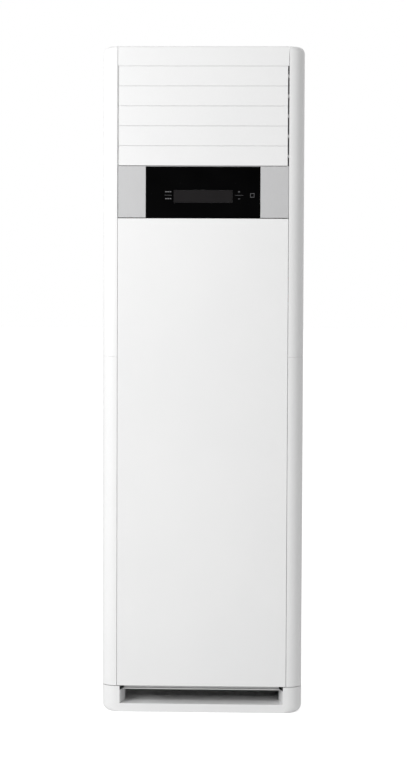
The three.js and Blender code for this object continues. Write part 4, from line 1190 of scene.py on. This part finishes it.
def onCoil(x, along, up):
    # a place on the coil: across, up its slope, and out of its face
    look = coilLook
    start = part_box("evaporator_coil")[0]
    sine, cosine = math.sin(look["slope"]), math.cos(look["slope"])
    half = look["thickness"] / 2
    return Vector((x, start.y + half * sine + along * cosine - up * sine,
                   start.z + half * cosine + along * sine + up * cosine))


def coilLength():
    start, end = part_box("evaporator_coil")
    slope = coilLook["slope"]
    return (end.z - start.z - coilLook["thickness"] * math.cos(slope)) / math.sin(slope)


def tubePlaces():
    count = int(coilLength() / coilLook["pitch"])
    first = (coilLength() - (count - 1) * coilLook["pitch"]) / 2
    return [first + i * coilLook["pitch"] for i in range(count)]


def makeCoil():
    look = coilLook
    start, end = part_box("evaporator_coil")
    half = look["thickness"] / 2
    bm = bmesh.new()
    count = int((end.x - start.x) / look["finPitch"])
    for i in range(count):
        x = start.x + (i + 0.5) * (end.x - start.x) / count
        section = ((0, -half), (coilLength(), -half), (coilLength(), half), (0, half))
        corners = [onCoil(x, along, up) for along, up in section]
        face = bm.faces.new([bm.verts.new(corner) for corner in corners])
        extrudeBy(bm, [face], (look["fin"], 0, 0))
    bmesh.ops.recalc_face_normals(bm, faces=bm.faces)
    fins = toObject("coil_fins", bm, smooth=False)
    dress(fins, finMetal, "fin_metal", "casing", "evaporator_coil")
    pipes = bmesh.new()
    for along in tubePlaces():
        for up in look["rows"]:
            place = onCoil(0, along, up)
            rodMesh(pipes, "x", place, look["tube"], end.x - start.x, 20)
    tubes = toObject("coil_tubes", pipes)
    soften(tubes, 0.2 * mm)
    dress(tubes, copperTube, "copper", "casing")


def makeCoilBends():
    # bends that join the tubes in pairs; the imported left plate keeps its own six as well
    # the gas pipe leaves where one pair on the right has none
    look = coilLook
    radius = look["pitch"] / 2
    places = tubePlaces()
    gas = coilLength() * look["gasShare"]
    for side, word in ((1, "right"), (-1, "left")):
        plateX = side * (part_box("evaporator_coil")[1].x + look["plate"])
        bm = bmesh.new()
        for first, second in zip(places[(1 - side) // 2::2], places[(3 - side) // 2::2]):
            if side > 0 and first < gas < second:
                continue
            for row in look["rows"]:
                turns = [math.pi * i / 12 for i in range(13)]
                path = [onCoil(plateX + side * radius * math.sin(turn),
                               (first + second) / 2 - radius * math.cos(turn), row) for turn in turns]
                tubeMesh(bm, path, look["tube"], 16)
        bmesh.ops.recalc_face_normals(bm, faces=bm.faces)
        dress(toObject(f"coil_bends_{word}", bm), copperTube, "copper", "casing")


pipeLook = {"gas": 9.5 * mm, "liquid": 4.8 * mm, "bend": 16 * mm, "drainBend": 12 * mm, "drop": 60 * mm}


def makePipe(node, corners, radius, material, bend):
    bm = bmesh.new()
    tubeMesh(bm, bentPath(corners, bend), radius, 28)
    bmesh.ops.recalc_face_normals(bm, faces=bm.faces)
    piece = toObject(node + "_tube", bm)
    soften(piece, 0.3 * mm, 1, 50)
    dress(piece, material, slotOf(node), "casing", node)


def makePipes():
    # two copper pipes from the coil's right end to the joint by the wall, and the drain on the left
    look = pipeLook
    for word in ("gas", "liquid"):
        node, radius = word + "_pipe", look[word]
        start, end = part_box(node)
        exitY, exitZ = end.y - radius, end.z - radius
        downX, downY = end.x - radius, start.y + radius
        makePipe(node, [(start.x, exitY, exitZ), (downX, exitY, exitZ), (downX, downY, exitZ - look["drop"]),
                        (downX, downY, start.z)], radius, copperTube, look["bend"])
    start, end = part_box("drain_pipe")
    radius = (end.y - start.y) / 2
    middle, downX, outletZ = start.y + radius, start.x + radius, end.z - radius
    makePipe("drain_pipe", [(end.x, middle, outletZ), (downX, middle, outletZ), (downX, middle, start.z)],
             radius, innerPlastic, look["drainBend"])


grilleLook = {"round": 24 * mm, "plate": 3 * mm, "border": 16 * mm, "pitch": 22 * mm, "slot": 12 * mm,
              "drop": 4 * mm, "edge": 1 * mm, "wall": 2.5 * mm}


def makeSideGrille(word, side):
    # a rounded plate with a rim that hooks into the column; its slots go right through and fall
    # towards the outside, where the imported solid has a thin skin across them
    look = grilleLook
    start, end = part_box(f"side_intake_grille_{word}")
    outer = max(abs(start.x), abs(end.x))
    inner, back = outer - look["plate"], min(abs(start.x), abs(end.x))

    def plate(bm, inset, x0, x1):
        outline = roundedOutline(start.y + inset, end.y - inset, start.z + inset, end.z - inset,
                                 look["round"] - inset, 8)
        extrudeBy(bm, [drawOutline(bm, outline, lambda u, v: (side * x0, u, v))], (side * (x1 - x0), 0, 0))

    body = bmesh.new()
    plate(body, 0, inner, outer)
    rimBody = bmesh.new()
    plate(rimBody, look["edge"], back, inner + 1 * mm)
    hollow = bmesh.new()
    plate(hollow, look["edge"] + look["wall"], back - 1 * mm, inner)
    slots = bmesh.new()
    room = end.z - start.z - 2 * look["border"]
    count = int(room / look["pitch"])
    first = (start.z + end.z - (count - 1) * look["pitch"] - look["slot"]) / 2
    for i in range(count):
        z = first + i * look["pitch"]
        past = look["edge"]
        corners = [(inner - past, z + look["drop"]), (outer + past, z), (outer + past, z + look["slot"]),
                   (inner - past, z + look["slot"] + look["drop"])]
        face = drawOutline(slots, corners, lambda u, v: (side * u, start.y + look["border"], v))
        extrudeBy(slots, [face], (0, end.y - start.y - 2 * look["border"], 0))
    meshes = [toObject(f"grille_{word}_{i}", tidy(bm), smooth=i == 0)
              for i, bm in enumerate((body, rimBody, hollow, slots))]
    piece = joinTo(meshes[0], meshes[1])
    cutOut(piece, meshes[2])
    cutOut(piece, meshes[3])
    piece.name = f"side_grille_{word}"
    soften(piece, 0.5 * mm)
    node = f"side_intake_grille_{word}"
    dress(piece, white, slotOf(node), bodyOf(node), node)


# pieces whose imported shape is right, with their sharp edges rounded
roundings = {
    "air_filter_right": (netting, 0.5), "air_filter_left": (netting, 0.5),
    "control_panel_frame": (innerPlastic, 0.5), "air_deflector": (foam, 0.8),
    "blower_scroll": (zinc, 0.3), "blower_mounting_plate": (zinc, 0.3), "partition_shelf": (zinc, 0.4),
    "coil_end_plate_right": (zinc, 0.2), "coil_end_plate_left": (zinc, 0.2), "drain_pan": (innerPlastic, 0.5),
    "electrical_box": (zinc, 0.3), "electrical_box_cover": (zinc, 0.3), "motor_shaft": (finMetal, 0.4),
    "shaft_nut": (finMetal, 0.5), "louver_motor": (motorPaint, 0.5), "vane_motor": (motorPaint, 0.5),
    "inner_upright_right": (zinc, 0.3), "inner_upright_left": (zinc, 0.3),
    "power_board": (boardGreen, 0.3), "display_board": (boardGreen, 0.2),
}


def roundTheRest():
    for node, (material, radius) in roundings.items():
        refine(node, material, radius * mm)


makeWheel()
makeWheelDisk()
makeInlet()
makeMotor()
print("blower made")
makeCoil()
makeCoilBends()
makePipes()
print("coil and pipes made")
makeSideGrille("right", 1)
makeSideGrille("left", -1)
roundTheRest()
print("inner pieces rounded")


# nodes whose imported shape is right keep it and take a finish

def restOfNodes():
    finishes = {
        "white_casing": white, "inner_plastic": innerPlastic, "silver_trim": silver,
        "black_glass": blackGlass,
        "smoked_lens": smokedLens, "dark_plastic": darkPlastic, "galvanised": zinc, "filter_netting": netting,
        "circuit_board": boardGreen, "fin_metal": finMetal, "copper": copperTube, "foam": foam,
        "motor_metal": motorPaint, "wheel_plastic": wheelPlastic,
    }
    for part in frame["record"]["subparts"]:
        if not frame["nodes"][part["node"]].hide_render:
            paintNode(finishes[part["material_slot"]], part["node"])


restOfNodes()


# floor, light and camera

stageLook = {"floor": (0.93, 0.93, 0.93), "floorGlow": 0.6, "fill": 0.46, "background": 1.0}


def makeFloor():
    bm = bmesh.new()
    bmesh.ops.create_grid(bm, x_segments=2, y_segments=2, size=40)
    made = Finish("floor_pale")
    path = made.add("ShaderNodeLightPath")
    seen = Signal(made, path.outputs["Is Camera Ray"])
    speck = made.spread(made.noise(3.0, 4.0), 0.3, 0.7)
    tone = made.mix(speck, stageLook["floor"], tuple(c * 0.985 for c in stageLook["floor"]))
    shader = made.add("ShaderNodeBsdfPrincipled", None, {"Base Color": tone, "Roughness": 0.75,
                      "Emission Color": (1, 1, 1), "Emission Strength": seen * stageLook["floorGlow"]})
    made.add("ShaderNodeOutputMaterial", None, {"Surface": shader.outputs[0]})
    floor = toObject("floor", bm, smooth=False)
    floor.data.materials.append(made.material)


def makeWorld():
    world = bpy.data.worlds.new("studio")
    bpy.context.scene.world = world
    world.use_nodes = True
    tree = world.node_tree
    tree.nodes.clear()
    path = tree.nodes.new("ShaderNodeLightPath")
    shown = tree.nodes.new("ShaderNodeMath")
    shown.operation = "MAXIMUM"
    tree.links.new(path.outputs["Is Camera Ray"], shown.inputs[0])
    tree.links.new(path.outputs["Is Glossy Ray"], shown.inputs[1])
    through = tree.nodes.new("ShaderNodeMath")
    through.operation = "MAXIMUM"
    tree.links.new(shown.outputs[0], through.inputs[0])
    tree.links.new(path.outputs["Is Transmission Ray"], through.inputs[1])
    level = tree.nodes.new("ShaderNodeMapRange")
    tree.links.new(through.outputs[0], level.inputs["Value"])
    level.inputs["To Min"].default_value = stageLook["fill"]
    level.inputs["To Max"].default_value = stageLook["background"]
    light = tree.nodes.new("ShaderNodeBackground")
    light.inputs["Color"].default_value = (1, 1, 1, 1)
    tree.links.new(level.outputs[0], light.inputs["Strength"])
    end = tree.nodes.new("ShaderNodeOutputWorld")
    tree.links.new(light.outputs[0], end.inputs["Surface"])


lamps = {
    # name: place, aim, width, height, watts
    "key": ((-1.9, -2.2, 2.0), (0.0, -0.2, 1.1), 1.0, 1.6, 50),
    "top": ((0.2, -0.6, 4.2), (0.0, 0.0, 1.0), 2.0, 2.0, 8),
}


def makeLamp(name, place, aim, width, height, watts):
    data = bpy.data.lights.new(name, "AREA")
    data.shape = "RECTANGLE"
    data.size = width
    data.size_y = height
    data.energy = watts
    lamp = bpy.data.objects.new(name, data)
    lamp.location = place
    lamp.rotation_euler = (Vector(aim) - Vector(place)).to_track_quat("-Z", "Y").to_euler()
    bpy.context.scene.collection.objects.link(lamp)


cameraLook = {
    "distance": 6.0,  # from the front face
    "height": 1.214,
    "side": 0.210,  # to the viewer's right of the middle
    "aim": (0.0032, 0.9167),  # the point of the front face in the middle of the picture
    "roll": 0.225,
    "lens": 104.2,
}


def makeCamera():
    look = cameraLook
    data = bpy.data.cameras.new("camera")
    data.lens = look["lens"]
    data.sensor_width = 36
    camera = bpy.data.objects.new("camera", data)
    place = Vector((look["side"], frontY - look["distance"], look["height"]))
    aim = Vector((look["aim"][0], frontY, look["aim"][1]))
    turn = (aim - place).to_track_quat("-Z", "Y").to_matrix().to_4x4()
    roll = Matrix.Rotation(math.radians(look["roll"]), 4, "Z")
    camera.matrix_world = Matrix.Translation(place) @ turn @ roll
    bpy.context.scene.collection.objects.link(camera)
    bpy.context.scene.camera = camera


makeFloor()
makeWorld()
for lampName, lampSettings in lamps.items():
    makeLamp(lampName, *lampSettings)
makeCamera()
bpy.context.scene.view_settings.view_transform = "Standard"
print("stage, light and camera set")
